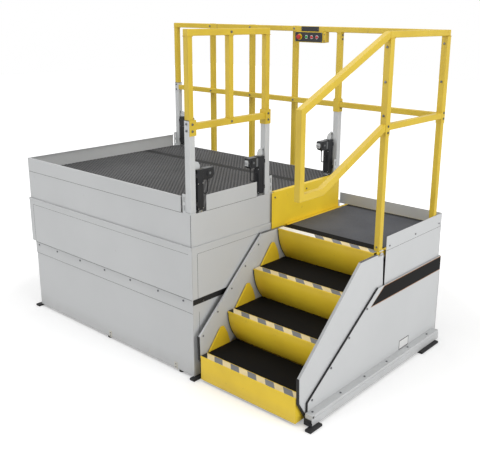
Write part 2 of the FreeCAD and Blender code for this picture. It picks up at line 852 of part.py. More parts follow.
def wing_parts():
    left_inner = wing_left_start + wing_thickness - sheet
    save("wing_left", wing(wing_left_start, left_inner))
    save("wing_right", wing(wing_right_start, wing_right_start))
    x0 = wing_left_start + 2
    x1 = wing_right_end - 2
    shafts = []
    for index in range(1, step_count + 2):
        y, z = pin_place(index)
        shafts.append(rod("x", x0, y, z, x1 - x0, pin_diameter))
    save("pivot_shafts", shafts)

    trims = []
    y0 = wing_front
    for x in (wing_left_start, wing_right_start):
        outline = [
            (y0, wing_front_top),
            (y0 + 5, wing_front_bottom),
            (wing_heel_depth, wing_heel_level),
            (wing_heel_depth - 8, wing_heel_level - trim_thickness),
            (y0 + 5 - trim_thickness, wing_front_bottom - 4),
            (y0 - trim_thickness, wing_front_top),
        ]
        trims.append(side_plate(outline, x, wing_thickness))
    save("wing_edge_trims", trims)


def landing_parts():
    level = landing_level - mat_thickness
    y0 = landing_nosing
    back = landing_rear - sheet
    side_start = landing_toe_front
    plate = block(tread_left, tread_right, y0, side_start, level - sheet, level)
    wide = block(wing_left_start, landing_side - sheet, side_start, back, level - sheet, level)
    lip = block(tread_left, tread_right, y0, y0 + riser_setback, level + mat_thickness - nosing_drop, level)
    low = level - sheet - landing_tube_height
    beams = []
    for x in (tread_left, tread_right - lug_thickness):
        beams.append(block(x, x + lug_thickness, y0 + 40, back, low + 10, level - sheet))
    w = floor_tube_width
    yc = landing_column_y
    for y in (yc - w / 2, back - w):
        beams.append(tube("x", tread_left + lug_thickness, tread_right - lug_thickness, y, y + w,
                          low, level - sheet, tube_wall))
    frame = fused([plate, wide, lip] + beams)
    y, z = pin_place(step_count + 1)
    frame = frame.cut(rod("x", tread_left - 1, y, z, tread_right - tread_left + 2, pin_diameter + 2 * pin_play))
    save("landing_frame", frame)

    inner = column_size / 2 - tube_wall - column_play
    columns = []
    for x in (tread_left + landing_column_inset, tread_right - landing_column_inset):
        columns.append(tube("z", x - inner, x + inner, yc - inner, yc + inner,
                            landing_column_top - landing_column_insert, low, tube_wall))
    save("landing_columns", columns)

    save("landing_riser", curved_riser(y0, level, tread_left, tread_right))
    mat = block(tread_left + mat_edge, tread_right - mat_edge, y0 + nosing_zone, back - mat_edge, level, landing_level)
    save("landing_side_panel", block(landing_side - sheet, landing_side, side_start, back,
                                     landing_panel_bottom, landing_toe_seam))
    save("landing_rear_panel", block(wing_left_start + 2 * sheet, landing_side - sheet, back, landing_rear,
                                     landing_panel_bottom, level - sheet))
    save("landing_toe_boards", [
        block(landing_side - sheet, landing_side, side_start, back, landing_toe_seam, landing_toe_top),
        block(deck_length - landing_toe_reach, landing_side - sheet, back, landing_rear,
              level - sheet, landing_toe_top),
    ])

    x = landing_post_right - inner_post
    rear = deck_width - post_off - rail_tube
    posts = []
    for y in (landing_post_front, rear):
        post = tube("z", x, x + inner_post, y, y + inner_post, level, inner_post_top, rail_wall)
        posts.append(post)
        mat = mat.cut(block(x - mat_notch, x + inner_post + mat_notch, y - mat_notch, y + inner_post + mat_notch,
                            level, landing_level))
    save("landing_posts", posts)
    save("landing_mat", mat)


os.makedirs("parts", exist_ok=True)
base_parts()
stair_base_parts()
mid_skirt_parts()
deck_parts()
guard_support_parts()
guard_parts()
step_parts()
wing_parts()
landing_parts()
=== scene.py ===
import math

import bmesh
import bpy
from mathutils import Matrix, Vector


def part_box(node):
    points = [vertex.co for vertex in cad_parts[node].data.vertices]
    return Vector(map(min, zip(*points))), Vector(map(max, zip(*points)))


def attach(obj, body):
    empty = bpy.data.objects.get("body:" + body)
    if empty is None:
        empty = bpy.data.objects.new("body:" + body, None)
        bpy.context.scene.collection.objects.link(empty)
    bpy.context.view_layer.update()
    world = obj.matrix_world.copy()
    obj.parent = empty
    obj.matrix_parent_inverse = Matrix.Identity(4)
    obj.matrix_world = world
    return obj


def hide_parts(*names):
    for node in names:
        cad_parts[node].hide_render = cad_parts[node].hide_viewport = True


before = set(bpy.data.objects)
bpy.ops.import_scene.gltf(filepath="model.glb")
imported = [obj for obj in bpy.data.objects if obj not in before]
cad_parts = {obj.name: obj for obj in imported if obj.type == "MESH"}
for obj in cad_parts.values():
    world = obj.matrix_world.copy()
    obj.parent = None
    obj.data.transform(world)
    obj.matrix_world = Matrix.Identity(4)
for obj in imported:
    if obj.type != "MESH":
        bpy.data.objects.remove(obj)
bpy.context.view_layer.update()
mm = 0.001
deckLow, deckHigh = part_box("upper_skirts")  # all places are measured from the deck's near corner, on the floor


def place(x, y, z):
    return Vector((deckLow.x + x * mm, deckLow.y + y * mm, z * mm))


def clearSelection():
    if bpy.context.mode != "OBJECT":
        bpy.ops.object.mode_set(mode="OBJECT")
    bpy.ops.object.select_all(action="DESELECT")


def takeUp(piece):
    clearSelection()
    piece.select_set(True)
    bpy.context.view_layer.objects.active = piece


def settle(piece):  # puts the piece's place into its mesh
    takeUp(piece)
    bpy.ops.object.transform_apply(location=True, rotation=True, scale=True)
    return piece


def nameLast(name):
    piece = bpy.context.active_object
    piece.name = name
    piece.data.name = name
    return piece


def addBlock(name, x0, x1, y0, y1, z0, z1):
    clearSelection()
    middle = place((x0 + x1) / 2, (y0 + y1) / 2, (z0 + z1) / 2)
    size = ((x1 - x0) * mm, (y1 - y0) * mm, (z1 - z0) * mm)
    bpy.ops.mesh.primitive_cube_add(size=1, location=middle, scale=size)
    return settle(nameLast(name))


def addRound(name, axis, x, y, z, length, diameter, sides=24):  # x, y, z is the lower end's middle
    clearSelection()
    turns = {"x": (0, math.pi / 2, 0), "y": (-math.pi / 2, 0, 0), "z": (0, 0, 0)}
    steps = {"x": (length / 2, 0, 0), "y": (0, length / 2, 0), "z": (0, 0, length / 2)}
    dx, dy, dz = steps[axis]
    bpy.ops.mesh.primitive_cylinder_add(vertices=sides, radius=diameter / 2 * mm, depth=length * mm,
                                        location=place(x + dx, y + dy, z + dz), rotation=turns[axis])
    return settle(nameLast(name))


def applyModifier(piece, kind, **settings):
    takeUp(piece)
    modifier = piece.modifiers.new(kind.title(), kind)
    for key, value in settings.items():
        setattr(modifier, key, value)
    bpy.ops.object.modifier_apply(modifier=modifier.name)
    return piece


def editAll(piece):
    takeUp(piece)
    bpy.ops.object.mode_set(mode="EDIT")
    bpy.ops.mesh.select_all(action="SELECT")


def leaveEdit():
    bpy.ops.object.mode_set(mode="OBJECT")


def soften(piece, width, segments=2, angle=35):
    return applyModifier(piece, "BEVEL", width=width * mm, segments=segments, limit_method="ANGLE",
                         angle_limit=math.radians(angle))


def joined(pieces, name):
    clearSelection()
    for piece in pieces:
        piece.select_set(True)
    bpy.context.view_layer.objects.active = pieces[0]
    if len(pieces) > 1:
        bpy.ops.object.join()
    return nameLast(name)


def pickEdges(piece, wanted):  # in edit mode
    bpy.ops.mesh.select_mode(type="EDGE")
    bpy.ops.mesh.select_all(action="DESELECT")
    shape = bmesh.from_edit_mesh(piece.data)
    for edge in shape.edges:
        if wanted(edge):
            edge.select = True
    shape.select_flush_mode()
    bmesh.update_edit_mesh(piece.data)


def pickFaces(piece, wanted):  # in edit mode
    bpy.ops.mesh.select_mode(type="FACE")
    bpy.ops.mesh.select_all(action="DESELECT")
    shape = bmesh.from_edit_mesh(piece.data)
    for face in shape.faces:
        if wanted(face):
            face.select = True
    shape.select_flush_mode()
    bmesh.update_edit_mesh(piece.data)


def finishPiece(piece, material, body, nodes=(), smooth=30):
    takeUp(piece)
    bpy.ops.object.shade_smooth_by_angle(angle=math.radians(smooth))
    applyModifier(piece, "WEIGHTED_NORMAL", keep_sharp=True, weight=80)
    piece.data.materials.clear()
    piece.data.materials.append(material)
    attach(piece, body)
    for node in nodes:
        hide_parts(node)
    return piece


def addPlate(name, outline, x0, x1):  # a flat plate standing across X, from its corner points (y, z)
    mesh = bpy.data.meshes.new(name)
    mesh.from_pydata([place(x0, y, z) for y, z in outline], [], [range(len(outline))])
    piece = bpy.data.objects.new(name, mesh)
    bpy.context.scene.collection.objects.link(piece)
    editAll(piece)
    bpy.ops.mesh.extrude_region_move(TRANSFORM_OT_translate={"value": ((x1 - x0) * mm, 0, 0)})
    bpy.ops.mesh.select_all(action="SELECT")
    bpy.ops.mesh.normals_make_consistent(inside=False)
    leaveEdit()
    return piece


def cutOff(piece, point, normal, fill=True):  # takes away what lies on the normal's side
    editAll(piece)
    bpy.ops.mesh.bisect(plane_co=point, plane_no=normal, use_fill=fill, clear_outer=True)
    leaveEdit()
    return piece


def dressNode(node, radius, longer=20.0, segments=3):  # a merged copy of a CAD node with its outer edges rounded
    piece = bpy.data.objects.new(node + "_rounded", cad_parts[node].data.copy())
    bpy.context.scene.collection.objects.link(piece)
    editAll(piece)
    bpy.ops.mesh.remove_doubles(threshold=0.00002)
    bpy.ops.mesh.dissolve_limited(angle_limit=math.radians(0.6))
    pickEdges(piece, lambda edge: len(edge.link_faces) == 2 and edge.calc_length() > longer * mm
              and edge.calc_face_angle_signed(0) > math.radians(50))
    bpy.ops.mesh.bevel(offset=radius * mm, segments=segments, affect="EDGES", clamp_overlap=False)
    leaveEdit()
    return piece


def newGroup(name, inputs, outputs):
    group = bpy.data.node_groups.new(name, "ShaderNodeTree")
    for label, kind, value in inputs:
        socket = group.interface.new_socket(name=label, in_out="INPUT", socket_type=kind)
        socket.default_value = value
    for label, kind in outputs:
        group.interface.new_socket(name=label, in_out="OUTPUT", socket_type=kind)
    return group, group.nodes.new("NodeGroupInput"), group.nodes.new("NodeGroupOutput"), group.links.new


def addNode(tree, kind, **settings):
    node = tree.nodes.new("ShaderNode" + kind)
    for key, value in settings.items():
        setattr(node, key, value)
    return node


def mathNode(tree, operation, first, second=None, clamp=False):
    node = addNode(tree, "Math", operation=operation, use_clamp=clamp)
    for socket, value in zip(node.inputs, (first, second)):
        if value is None:
            continue
        if isinstance(value, (int, float)):
            socket.default_value = value
        else:
            tree.links.new(value, socket)
    return node.outputs[0]


def setSocket(socket, value):
    socket.default_value = (*value, 1) if isinstance(value, tuple) else value


def mixColour(tree, share, first, second):
    node = addNode(tree, "Mix", data_type="RGBA")
    for socket, value in ((node.inputs[0], share), (node.inputs[6], first), (node.inputs[7], second)):
        if isinstance(value, (int, float, tuple)):
            setSocket(socket, value)
        else:
            tree.links.new(value, socket)
    return node.outputs[2]


def buildCoatGroup():  # powder coat: soft blotches, orange peel and a slightly uneven gloss
    group, entry, leave, link = newGroup("powderCoat", [
        ("Colour", "NodeSocketColor", (0.5, 0.5, 0.5, 1)),
        ("Blotch Colour", "NodeSocketColor", (0.4, 0.4, 0.4, 1)),
        ("Blotch Scale", "NodeSocketFloat", 3.0),
        ("Blotch Share", "NodeSocketFloat", 0.4),
        ("Peel Scale", "NodeSocketFloat", 420.0),
        ("Peel Height", "NodeSocketFloat", 0.15),
        ("Roughness", "NodeSocketFloat", 0.4),
        ("Roughness Spread", "NodeSocketFloat", 0.15),
    ], [("Colour", "NodeSocketColor"), ("Roughness", "NodeSocketFloat"), ("Normal", "NodeSocketVector")])
    spot = addNode(group, "TexCoord")
    blotch = addNode(group, "TexNoise")
    blotch.inputs["Detail"].default_value = 5.0
    peel = addNode(group, "TexNoise")
    peel.inputs["Detail"].default_value = 2.0
    link(spot.outputs["Object"], blotch.inputs["Vector"])
    link(spot.outputs["Object"], peel.inputs["Vector"])
    link(entry.outputs["Blotch Scale"], blotch.inputs["Scale"])
    link(entry.outputs["Peel Scale"], peel.inputs["Scale"])
    spread = mathNode(group, "MULTIPLY", mathNode(group, "SUBTRACT", blotch.outputs[0], 0.42), 4.0, clamp=True)
    share = mathNode(group, "MULTIPLY", spread, entry.outputs["Blotch Share"])
    colour = mixColour(group, share, entry.outputs["Colour"], entry.outputs["Blotch Colour"])
    link(colour, leave.inputs["Colour"])
    uneven = mathNode(group, "MULTIPLY", mathNode(group, "SUBTRACT", blotch.outputs[0], 0.5),
        entry.outputs["Roughness Spread"])
    link(mathNode(group, "ADD", entry.outputs["Roughness"], uneven, clamp=True), leave.inputs["Roughness"])
    bump = addNode(group, "Bump")
    bump.inputs["Distance"].default_value = 0.0006
    link(entry.outputs["Peel Height"], bump.inputs["Strength"])
    link(peel.outputs[0], bump.inputs["Height"])
    link(bump.outputs[0], leave.inputs["Normal"])
    return group


def buildGrimeGroup():  # dust that settles near the floor
    group, entry, leave, link = newGroup("floorGrime", [
        ("Colour", "NodeSocketColor", (0.5, 0.5, 0.5, 1)),
        ("Dust Colour", "NodeSocketColor", (0.25, 0.24, 0.22, 1)),
        ("Height", "NodeSocketFloat", 0.18),
        ("Amount", "NodeSocketFloat", 0.35),
    ], [("Colour", "NodeSocketColor")])
    spot = addNode(group, "TexCoord")
    parts = addNode(group, "SeparateXYZ")
    link(spot.outputs["Object"], parts.inputs[0])
    noise = addNode(group, "TexNoise")
    noise.inputs["Scale"].default_value = 9.0
    noise.inputs["Detail"].default_value = 6.0
    link(spot.outputs["Object"], noise.inputs["Vector"])
    fall = mathNode(group, "SUBTRACT", 1.0, mathNode(group, "DIVIDE", parts.outputs["Z"], entry.outputs["Height"]),
        clamp=True)
    mask = mathNode(group, "MULTIPLY", mathNode(group, "MULTIPLY", fall, noise.outputs[0]), entry.outputs["Amount"])
    link(mixColour(group, mask, entry.outputs["Colour"], entry.outputs["Dust Colour"]), leave.inputs["Colour"])
    return group


def buildScuffGroup():  # thin rubbed streaks and small chips
    group, entry, leave, link = newGroup("handlingScuffs", [
        ("Colour", "NodeSocketColor", (0.5, 0.5, 0.5, 1)),
        ("Scuff Colour", "NodeSocketColor", (0.2, 0.2, 0.2, 1)),
        ("Scale", "NodeSocketFloat", 26.0),
        ("Stretch", "NodeSocketFloat", 0.12),
        ("Limit", "NodeSocketFloat", 0.62),
        ("Amount", "NodeSocketFloat", 0.4),
    ], [("Colour", "NodeSocketColor"), ("Mask", "NodeSocketFloat")])
    spot = addNode(group, "TexCoord")
    parts = addNode(group, "SeparateXYZ")
    squeezed = addNode(group, "CombineXYZ")
    link(spot.outputs["Object"], parts.inputs[0])
    link(parts.outputs["X"], squeezed.inputs["X"])
    link(parts.outputs["Y"], squeezed.inputs["Y"])
    link(mathNode(group, "MULTIPLY", parts.outputs["Z"], entry.outputs["Stretch"]), squeezed.inputs["Z"])
    noise = addNode(group, "TexNoise")
    noise.inputs["Detail"].default_value = 6.0
    noise.inputs["Roughness"].default_value = 0.65
    link(squeezed.outputs[0], noise.inputs["Vector"])
    link(entry.outputs["Scale"], noise.inputs["Scale"])
    over = mathNode(group, "MULTIPLY", mathNode(group, "SUBTRACT", noise.outputs[0], entry.outputs["Limit"]), 9.0,
        clamp=True)
    mask = mathNode(group, "MULTIPLY", over, entry.outputs["Amount"])
    link(mixColour(group, mask, entry.outputs["Colour"], entry.outputs["Scuff Colour"]), leave.inputs["Colour"])
    link(mask, leave.inputs["Mask"])
    return group


def buildGritGroup():  # coarse grains for anti-slip mats and rubber
    group, entry, leave, link = newGroup("rubberGrit", [
        ("Colour", "NodeSocketColor", (0.02, 0.02, 0.02, 1)),
        ("Grain Colour", "NodeSocketColor", (0.08, 0.08, 0.08, 1)),
        ("Grain Scale", "NodeSocketFloat", 500.0),
        ("Grain Share", "NodeSocketFloat", 0.3),
        ("Grain Height", "NodeSocketFloat", 0.6),
        ("Wear Scale", "NodeSocketFloat", 6.0),
        ("Wear Share", "NodeSocketFloat", 0.3),
    ], [("Colour", "NodeSocketColor"), ("Normal", "NodeSocketVector")])
    spot = addNode(group, "TexCoord")
    grain = addNode(group, "TexVoronoi")
    wear = addNode(group, "TexNoise")
    wear.inputs["Detail"].default_value = 5.0
    link(spot.outputs["Object"], grain.inputs["Vector"])
    link(spot.outputs["Object"], wear.inputs["Vector"])
    link(entry.outputs["Grain Scale"], grain.inputs["Scale"])
    link(entry.outputs["Wear Scale"], wear.inputs["Scale"])
    top = mathNode(group, "SUBTRACT", 0.75, grain.outputs["Distance"], clamp=True)
    worn = mathNode(group, "MULTIPLY", mathNode(group, "SUBTRACT", wear.outputs[0], 0.4, clamp=True),
        entry.outputs["Wear Share"])
    share = mathNode(group, "ADD", mathNode(group, "MULTIPLY", top, entry.outputs["Grain Share"]), worn, clamp=True)
    link(mixColour(group, share, entry.outputs["Colour"], entry.outputs["Grain Colour"]), leave.inputs["Colour"])
    bump = addNode(group, "Bump")
    bump.inputs["Distance"].default_value = 0.0008
    link(entry.outputs["Grain Height"], bump.inputs["Strength"])
    link(top, bump.inputs["Height"])
    link(bump.outputs[0], leave.inputs["Normal"])
    return group


coatGroup = buildCoatGroup()
grimeGroup = buildGrimeGroup()
scuffGroup = buildScuffGroup()
gritGroup = buildGritGroup()


def newMaterial(name):
    material = bpy.data.materials.new(name)
    material.use_nodes = True
    tree = material.node_tree
    shader = tree.nodes["Principled BSDF"]
    return material, tree, shader, tree.links.new


def addGroup(tree, group, values):
    node = addNode(tree, "Group")
    node.node_tree = group
    for label, value in values.items():
        setSocket(node.inputs[label], value)
    return node


def paint(name, coat, scuffs=None, grime=None, metallic=0.0, specular=0.5, coatWeight=0.0):
    material, tree, shader, link = newMaterial(name)
    body = addGroup(tree, coatGroup, coat)
    colour = body.outputs["Colour"]
    if scuffs:
        rubbed = addGroup(tree, scuffGroup, scuffs)
        link(colour, rubbed.inputs["Colour"])
        colour = rubbed.outputs["Colour"]
    if grime:
        dusty = addGroup(tree, grimeGroup, grime)
        link(colour, dusty.inputs["Colour"])
        colour = dusty.outputs["Colour"]
    link(colour, shader.inputs["Base Color"])
    link(body.outputs["Roughness"], shader.inputs["Roughness"])
    link(body.outputs["Normal"], shader.inputs["Normal"])
    shader.inputs["Metallic"].default_value = metallic
    shader.inputs["Specular IOR Level"].default_value = specular
    shader.inputs["Coat Weight"].default_value = coatWeight
    return material


def rubber(name, grit, roughness=0.85, specular=0.3):
    material, tree, shader, link = newMaterial(name)
    body = addGroup(tree, gritGroup, grit)
    link(body.outputs["Colour"], shader.inputs["Base Color"])
    link(body.outputs["Normal"], shader.inputs["Normal"])
    shader.inputs["Roughness"].default_value = roughness
    shader.inputs["Specular IOR Level"].default_value = specular
    return material


greyPaint = paint("greyPaint", {
    "Colour": (0.585, 0.595, 0.60), "Blotch Colour": (0.52, 0.53, 0.535), "Blotch Scale": 1.6, "Blotch Share": 0.35,
    "Peel Scale": 520.0, "Peel Height": 0.10, "Roughness": 0.42, "Roughness Spread": 0.12,
}, scuffs={"Scuff Colour": (0.36, 0.36, 0.35), "Scale": 18.0, "Stretch": 0.7, "Limit": 0.68, "Amount": 0.35},
    grime={"Dust Colour": (0.30, 0.29, 0.27), "Height": 0.12, "Amount": 0.45})
postPaint = paint("postPaint", {
    "Colour": (0.62, 0.635, 0.64), "Blotch Colour": (0.52, 0.535, 0.545), "Blotch Scale": 5.0, "Blotch Share": 0.4,
    "Peel Scale": 620.0, "Peel Height": 0.08, "Roughness": 0.36, "Roughness Spread": 0.12,
}, scuffs={"Scuff Colour": (0.33, 0.33, 0.33), "Scale": 34.0, "Stretch": 0.1, "Limit": 0.62, "Amount": 0.35})
yellowPaint = paint("yellowPaint", {
    "Colour": (0.70, 0.50, 0.038), "Blotch Colour": (0.60, 0.41, 0.03), "Blotch Scale": 6.0, "Blotch Share": 0.5,
    "Peel Scale": 560.0, "Peel Height": 0.10, "Roughness": 0.36, "Roughness Spread": 0.15,
}, scuffs={"Scuff Colour": (0.36, 0.23, 0.04), "Scale": 30.0, "Stretch": 0.12, "Limit": 0.62, "Amount": 0.45})
# the steps' own yellow made brighter than yellowPaint: painted light that lifts the risers inside the shaded
# stairwell
stepPaint = paint("stepPaint", {
    "Colour": (0.92, 0.655, 0.035), "Blotch Colour": (0.76, 0.51, 0.03), "Blotch Scale": 3.2, "Blotch Share": 0.5,
    "Peel Scale": 480.0, "Peel Height": 0.12, "Roughness": 0.38, "Roughness Spread": 0.15,
}, scuffs={"Scuff Colour": (0.33, 0.22, 0.05), "Scale": 16.0, "Stretch": 0.9, "Limit": 0.64, "Amount": 0.45},
    grime={"Dust Colour": (0.33, 0.27, 0.15), "Height": 0.10, "Amount": 0.5})
framePaint = paint("framePaint", {
    "Colour": (0.045, 0.045, 0.048), "Blotch Colour": (0.08, 0.078, 0.075), "Blotch Scale": 4.0, "Blotch Share": 0.5,
    "Peel Scale": 400.0, "Peel Height": 0.15, "Roughness": 0.55, "Roughness Spread": 0.2,
}, grime={"Dust Colour": (0.25, 0.24, 0.22), "Height": 0.10, "Amount": 0.5})
blackPlastic = paint("blackPlastic", {
    "Colour": (0.012, 0.013, 0.016), "Blotch Colour": (0.022, 0.023, 0.026), "Blotch Scale": 12.0,
    "Blotch Share": 0.5,
    "Peel Scale": 900.0, "Peel Height": 0.12, "Roughness": 0.42, "Roughness Spread": 0.12,
})
greyPlastic = paint("greyPlastic", {
    "Colour": (0.16, 0.165, 0.17), "Blotch Colour": (0.10, 0.105, 0.11), "Blotch Scale": 20.0, "Blotch Share": 0.5,
    "Peel Scale": 800.0, "Peel Height": 0.1, "Roughness": 0.5, "Roughness Spread": 0.12,
})
capGrey = paint("capGrey", {
    "Colour": (0.13, 0.13, 0.135), "Blotch Colour": (0.09, 0.09, 0.095), "Blotch Scale": 20.0, "Blotch Share": 0.5,
    "Peel Scale": 500.0, "Peel Height": 0.15, "Roughness": 0.55, "Roughness Spread": 0.12,
})
# a darker copy of greyPaint: painted shade for the top face of the right wing's slope
shadedGreyPaint = paint("shadedGreyPaint", {
    "Colour": (0.40, 0.41, 0.415), "Blotch Colour": (0.33, 0.34, 0.345), "Blotch Scale": 8.0, "Blotch Share": 0.4,
    "Peel Scale": 500.0, "Peel Height": 0.1, "Roughness": 0.45, "Roughness Spread": 0.12,
})
labelWhite = paint("labelWhite", {
    "Colour": (0.74, 0.74, 0.73), "Blotch Colour": (0.66, 0.66, 0.65), "Blotch Scale": 20.0, "Blotch Share": 0.4,
    "Peel Scale": 900.0, "Peel Height": 0.03, "Roughness": 0.4, "Roughness Spread": 0.1,
})
bareSteel = paint("bareSteel", {
    "Colour": (0.55, 0.56, 0.57), "Blotch Colour": (0.42, 0.42, 0.43), "Blotch Scale": 30.0, "Blotch Share": 0.6,
    "Peel Scale": 700.0, "Peel Height": 0.06, "Roughness": 0.3, "Roughness Spread": 0.25,
}, metallic=1.0)
boltSteel = paint("boltSteel", {
    "Colour": (0.20, 0.205, 0.22), "Blotch Colour": (0.11, 0.11, 0.12), "Blotch Scale": 60.0, "Blotch Share": 0.6,
    "Peel Scale": 900.0, "Peel Height": 0.05, "Roughness": 0.32, "Roughness Spread": 0.2,
}, metallic=0.9)
nylonWhite = paint("nylonWhite", {
    "Colour": (0.62, 0.60, 0.54), "Blotch Colour": (0.5, 0.48, 0.42), "Blotch Scale": 20.0, "Blotch Share": 0.4,
    "Peel Scale": 600.0, "Peel Height": 0.05, "Roughness": 0.5, "Roughness Spread": 0.1,
})
redPlastic = paint("redPlastic", {
    "Colour": (0.55, 0.012, 0.012), "Blotch Colour": (0.42, 0.01, 0.01), "Blotch Scale": 60.0, "Blotch Share": 0.3,
    "Peel Scale": 900.0, "Peel Height": 0.03, "Roughness": 0.3, "Roughness Spread": 0.1,
})
greenPlastic = paint("greenPlastic", {
    "Colour": (0.01, 0.28, 0.04), "Blotch Colour": (0.01, 0.2, 0.03), "Blotch Scale": 60.0, "Blotch Share": 0.3,
    "Peel Scale": 900.0, "Peel Height": 0.03, "Roughness": 0.3, "Roughness Spread": 0.1,
})
yellowPlastic = paint("yellowPlastic", {
    "Colour": (0.82, 0.60, 0.02), "Blotch Colour": (0.7, 0.48, 0.02), "Blotch Scale": 60.0, "Blotch Share": 0.3,
    "Peel Scale": 900.0, "Peel Height": 0.03, "Roughness": 0.35, "Roughness Spread": 0.1,
})
bandBlack = paint("bandBlack", {
    "Colour": (0.005, 0.0045, 0.0045), "Blotch Colour": (0.009, 0.008, 0.008), "Blotch Scale": 3.0,
    "Blotch Share": 0.5,
    "Peel Scale": 300.0, "Peel Height": 0.02, "Roughness": 0.5, "Roughness Spread": 0.1,
}, specular=0.12)
copperLine = paint("copperLine", {
    "Colour": (0.36, 0.17, 0.06), "Blotch Colour": (0.26, 0.12, 0.05), "Blotch Scale": 8.0, "Blotch Share": 0.5,
    "Peel Scale": 300.0, "Peel Height": 0.02, "Roughness": 0.35, "Roughness Spread": 0.1,
})
stepGrit = rubber("stepGrit", {
    "Colour": (0.003, 0.003, 0.0035), "Grain Colour": (0.02, 0.02, 0.022), "Grain Scale": 420.0, "Grain Share": 0.2,
    "Grain Height": 0.8, "Wear Scale": 7.0, "Wear Share": 0.15,
}, roughness=0.85, specular=0.16)
landingGrit = rubber("landingGrit", {
    "Colour": (0.055, 0.058, 0.068), "Grain Colour": (0.21, 0.22, 0.25), "Grain Scale": 300.0, "Grain Share": 0.45,
    "Grain Height": 0.8, "Wear Scale": 5.0, "Wear Share": 0.4,
}, roughness=0.7, specular=0.4)
trimRubber = rubber("trimRubber", {
    "Colour": (0.012, 0.012, 0.013), "Grain Colour": (0.04, 0.04, 0.042), "Grain Scale": 900.0, "Grain Share": 0.2,
    "Grain Height": 0.2, "Wear Scale": 10.0, "Wear Share": 0.4,
}, roughness=0.6, specular=0.4)
deckRubber = rubber("deckRubber", {
    "Colour": (0.062, 0.062, 0.064), "Grain Colour": (0.175, 0.175, 0.18), "Grain Scale": 260.0, "Grain Share": 0.5,
    "Grain Height": 0.6, "Wear Scale": 2.4, "Wear Share": 0.8,
}, roughness=0.62, specular=0.45)
deckUnder = rubber("deckUnder", {
    "Colour": (0.014, 0.014, 0.015), "Grain Colour": (0.05, 0.048, 0.045), "Grain Scale": 120.0, "Grain Share": 0.3,
    "Grain Height": 0.4, "Wear Scale": 4.0, "Wear Share": 0.5,
}, roughness=0.8, specular=0.3)


def buildTape(number, shift, black,
    white):  # slanted cream and grey blocks, a black corner or a white run before them
    material, tree, shader, link = newMaterial(f"noseTape{number}")
    spot = addNode(tree, "TexCoord")
    parts = addNode(tree, "SeparateXYZ")
    link(spot.outputs["Object"], parts.inputs[0])
    along = mathNode(tree, "ADD", parts.outputs["X"], parts.outputs["Y"])
    turn = mathNode(tree, "FRACT", mathNode(tree, "DIVIDE", mathNode(tree, "ADD", along, shift), 0.138))
    block = mathNode(tree, "GREATER_THAN", turn, 0.5)
    coat = addGroup(tree, coatGroup, {
        "Colour": (0.86, 0.72, 0.42), "Blotch Colour": (0.72, 0.58, 0.33), "Blotch Scale": 14.0, "Blotch Share": 0.5,
        "Peel Scale": 700.0, "Peel Height": 0.35, "Roughness": 0.55, "Roughness Spread": 0.1,
    })
    colour = mixColour(tree, block, coat.outputs["Colour"], (0.20, 0.21, 0.235))
    colour = mixColour(tree, mathNode(tree, "LESS_THAN", along, white), colour, (0.95, 0.95, 0.93))
    colour = mixColour(tree, mathNode(tree, "LESS_THAN", along, black), colour, (0.004, 0.004, 0.005))
    link(colour, shader.inputs["Base Color"])
    link(coat.outputs["Roughness"], shader.inputs["Roughness"])
    link(coat.outputs["Normal"], shader.inputs["Normal"])
    return material


noseTapes = [buildTape(1, 0.244, -0.238, -9.0), buildTape(2, 0.275, 0.0, -9.0), buildTape(3, 0.204, -9.0, -9.0),
             buildTape(4, 0.273, -9.0, 0.762)]
print("finishes ready")


camera = {"x": 4678.66, "y": -2723.65, "z": 2245.37, "yaw": 0.705252, "pitch": 0.276919, "roll": 0.011309,
          "focalPixels": 697.454, "middleX": 267.868, "middleY": 211.278, "width": 480, "height": 452}
forward = Vector((-math.sin(camera["yaw"]) * math.cos(camera["pitch"]),
                  math.cos(camera["yaw"]) * math.cos(camera["pitch"]), -math.sin(camera["pitch"])))
sideways = Vector((math.cos(camera["yaw"]), math.sin(camera["yaw"]), 0))
upright = sideways.cross(forward)
across = sideways * math.cos(camera["roll"]) + upright * math.sin(camera["roll"])
above = upright * math.cos(camera["roll"]) - sideways * math.sin(camera["roll"])
clearSelection()
bpy.ops.object.camera_add()
viewer = bpy.context.active_object
viewer.matrix_world = Matrix.Translation(place(camera["x"], camera["y"], camera["z"])) @ Matrix(
    (across, above, -forward)).transposed().to_4x4()
viewer.data.sensor_width = 36
viewer.data.lens = camera["focalPixels"] * 36 / camera["width"]
viewer.data.shift_x = (camera["width"] / 2 - camera["middleX"]) / camera["width"]
viewer.data.shift_y = (camera["middleY"] - camera["height"] / 2) / camera["width"]
bpy.context.scene.camera = viewer
bpy.context.scene.view_settings.view_transform = "Standard"

lights = {
    "overhead": {"at": (900, 200, 5200), "aim": (1200, 700, 600), "size": 4.5, "power": 112},
    "rightSoft": {"at": (8200, 600, 3300), "aim": (1400, 700, 900), "size": 4.5, "power": 220},
    "leftSoft": {"at": (-600, -4200, 2400), "aim": (1000, 500, 700), "size": 3.5, "power": 60},
}
for label, setup in lights.items():
    clearSelection()
    bpy.ops.object.light_add(type="AREA", location=place(*setup["at"]))
    lamp = bpy.context.active_object
    lamp.name = label
    lamp.data.size = setup["size"]
    lamp.data.energy = setup["power"]
    lamp.rotation_euler = (place(*setup["aim"]) - place(*setup["at"])).to_track_quat("-Z", "Y").to_euler()

world = bpy.data.worlds.new("paleStudio")
bpy.context.scene.world = world
world.use_nodes = True
sky = world.node_tree
background = sky.nodes["Background"]
seen = addNode(sky, "LightPath")
mirrored = mathNode(sky, "MULTIPLY", seen.outputs["Is Glossy Ray"], 0.25)
shown = mathNode(sky, "MAXIMUM", seen.outputs["Is Camera Ray"], mathNode(sky, "ADD", mirrored, 0.46))
background.inputs["Color"].default_value = (1, 1, 1, 1)
sky.links.new(shown, background.inputs["Strength"])

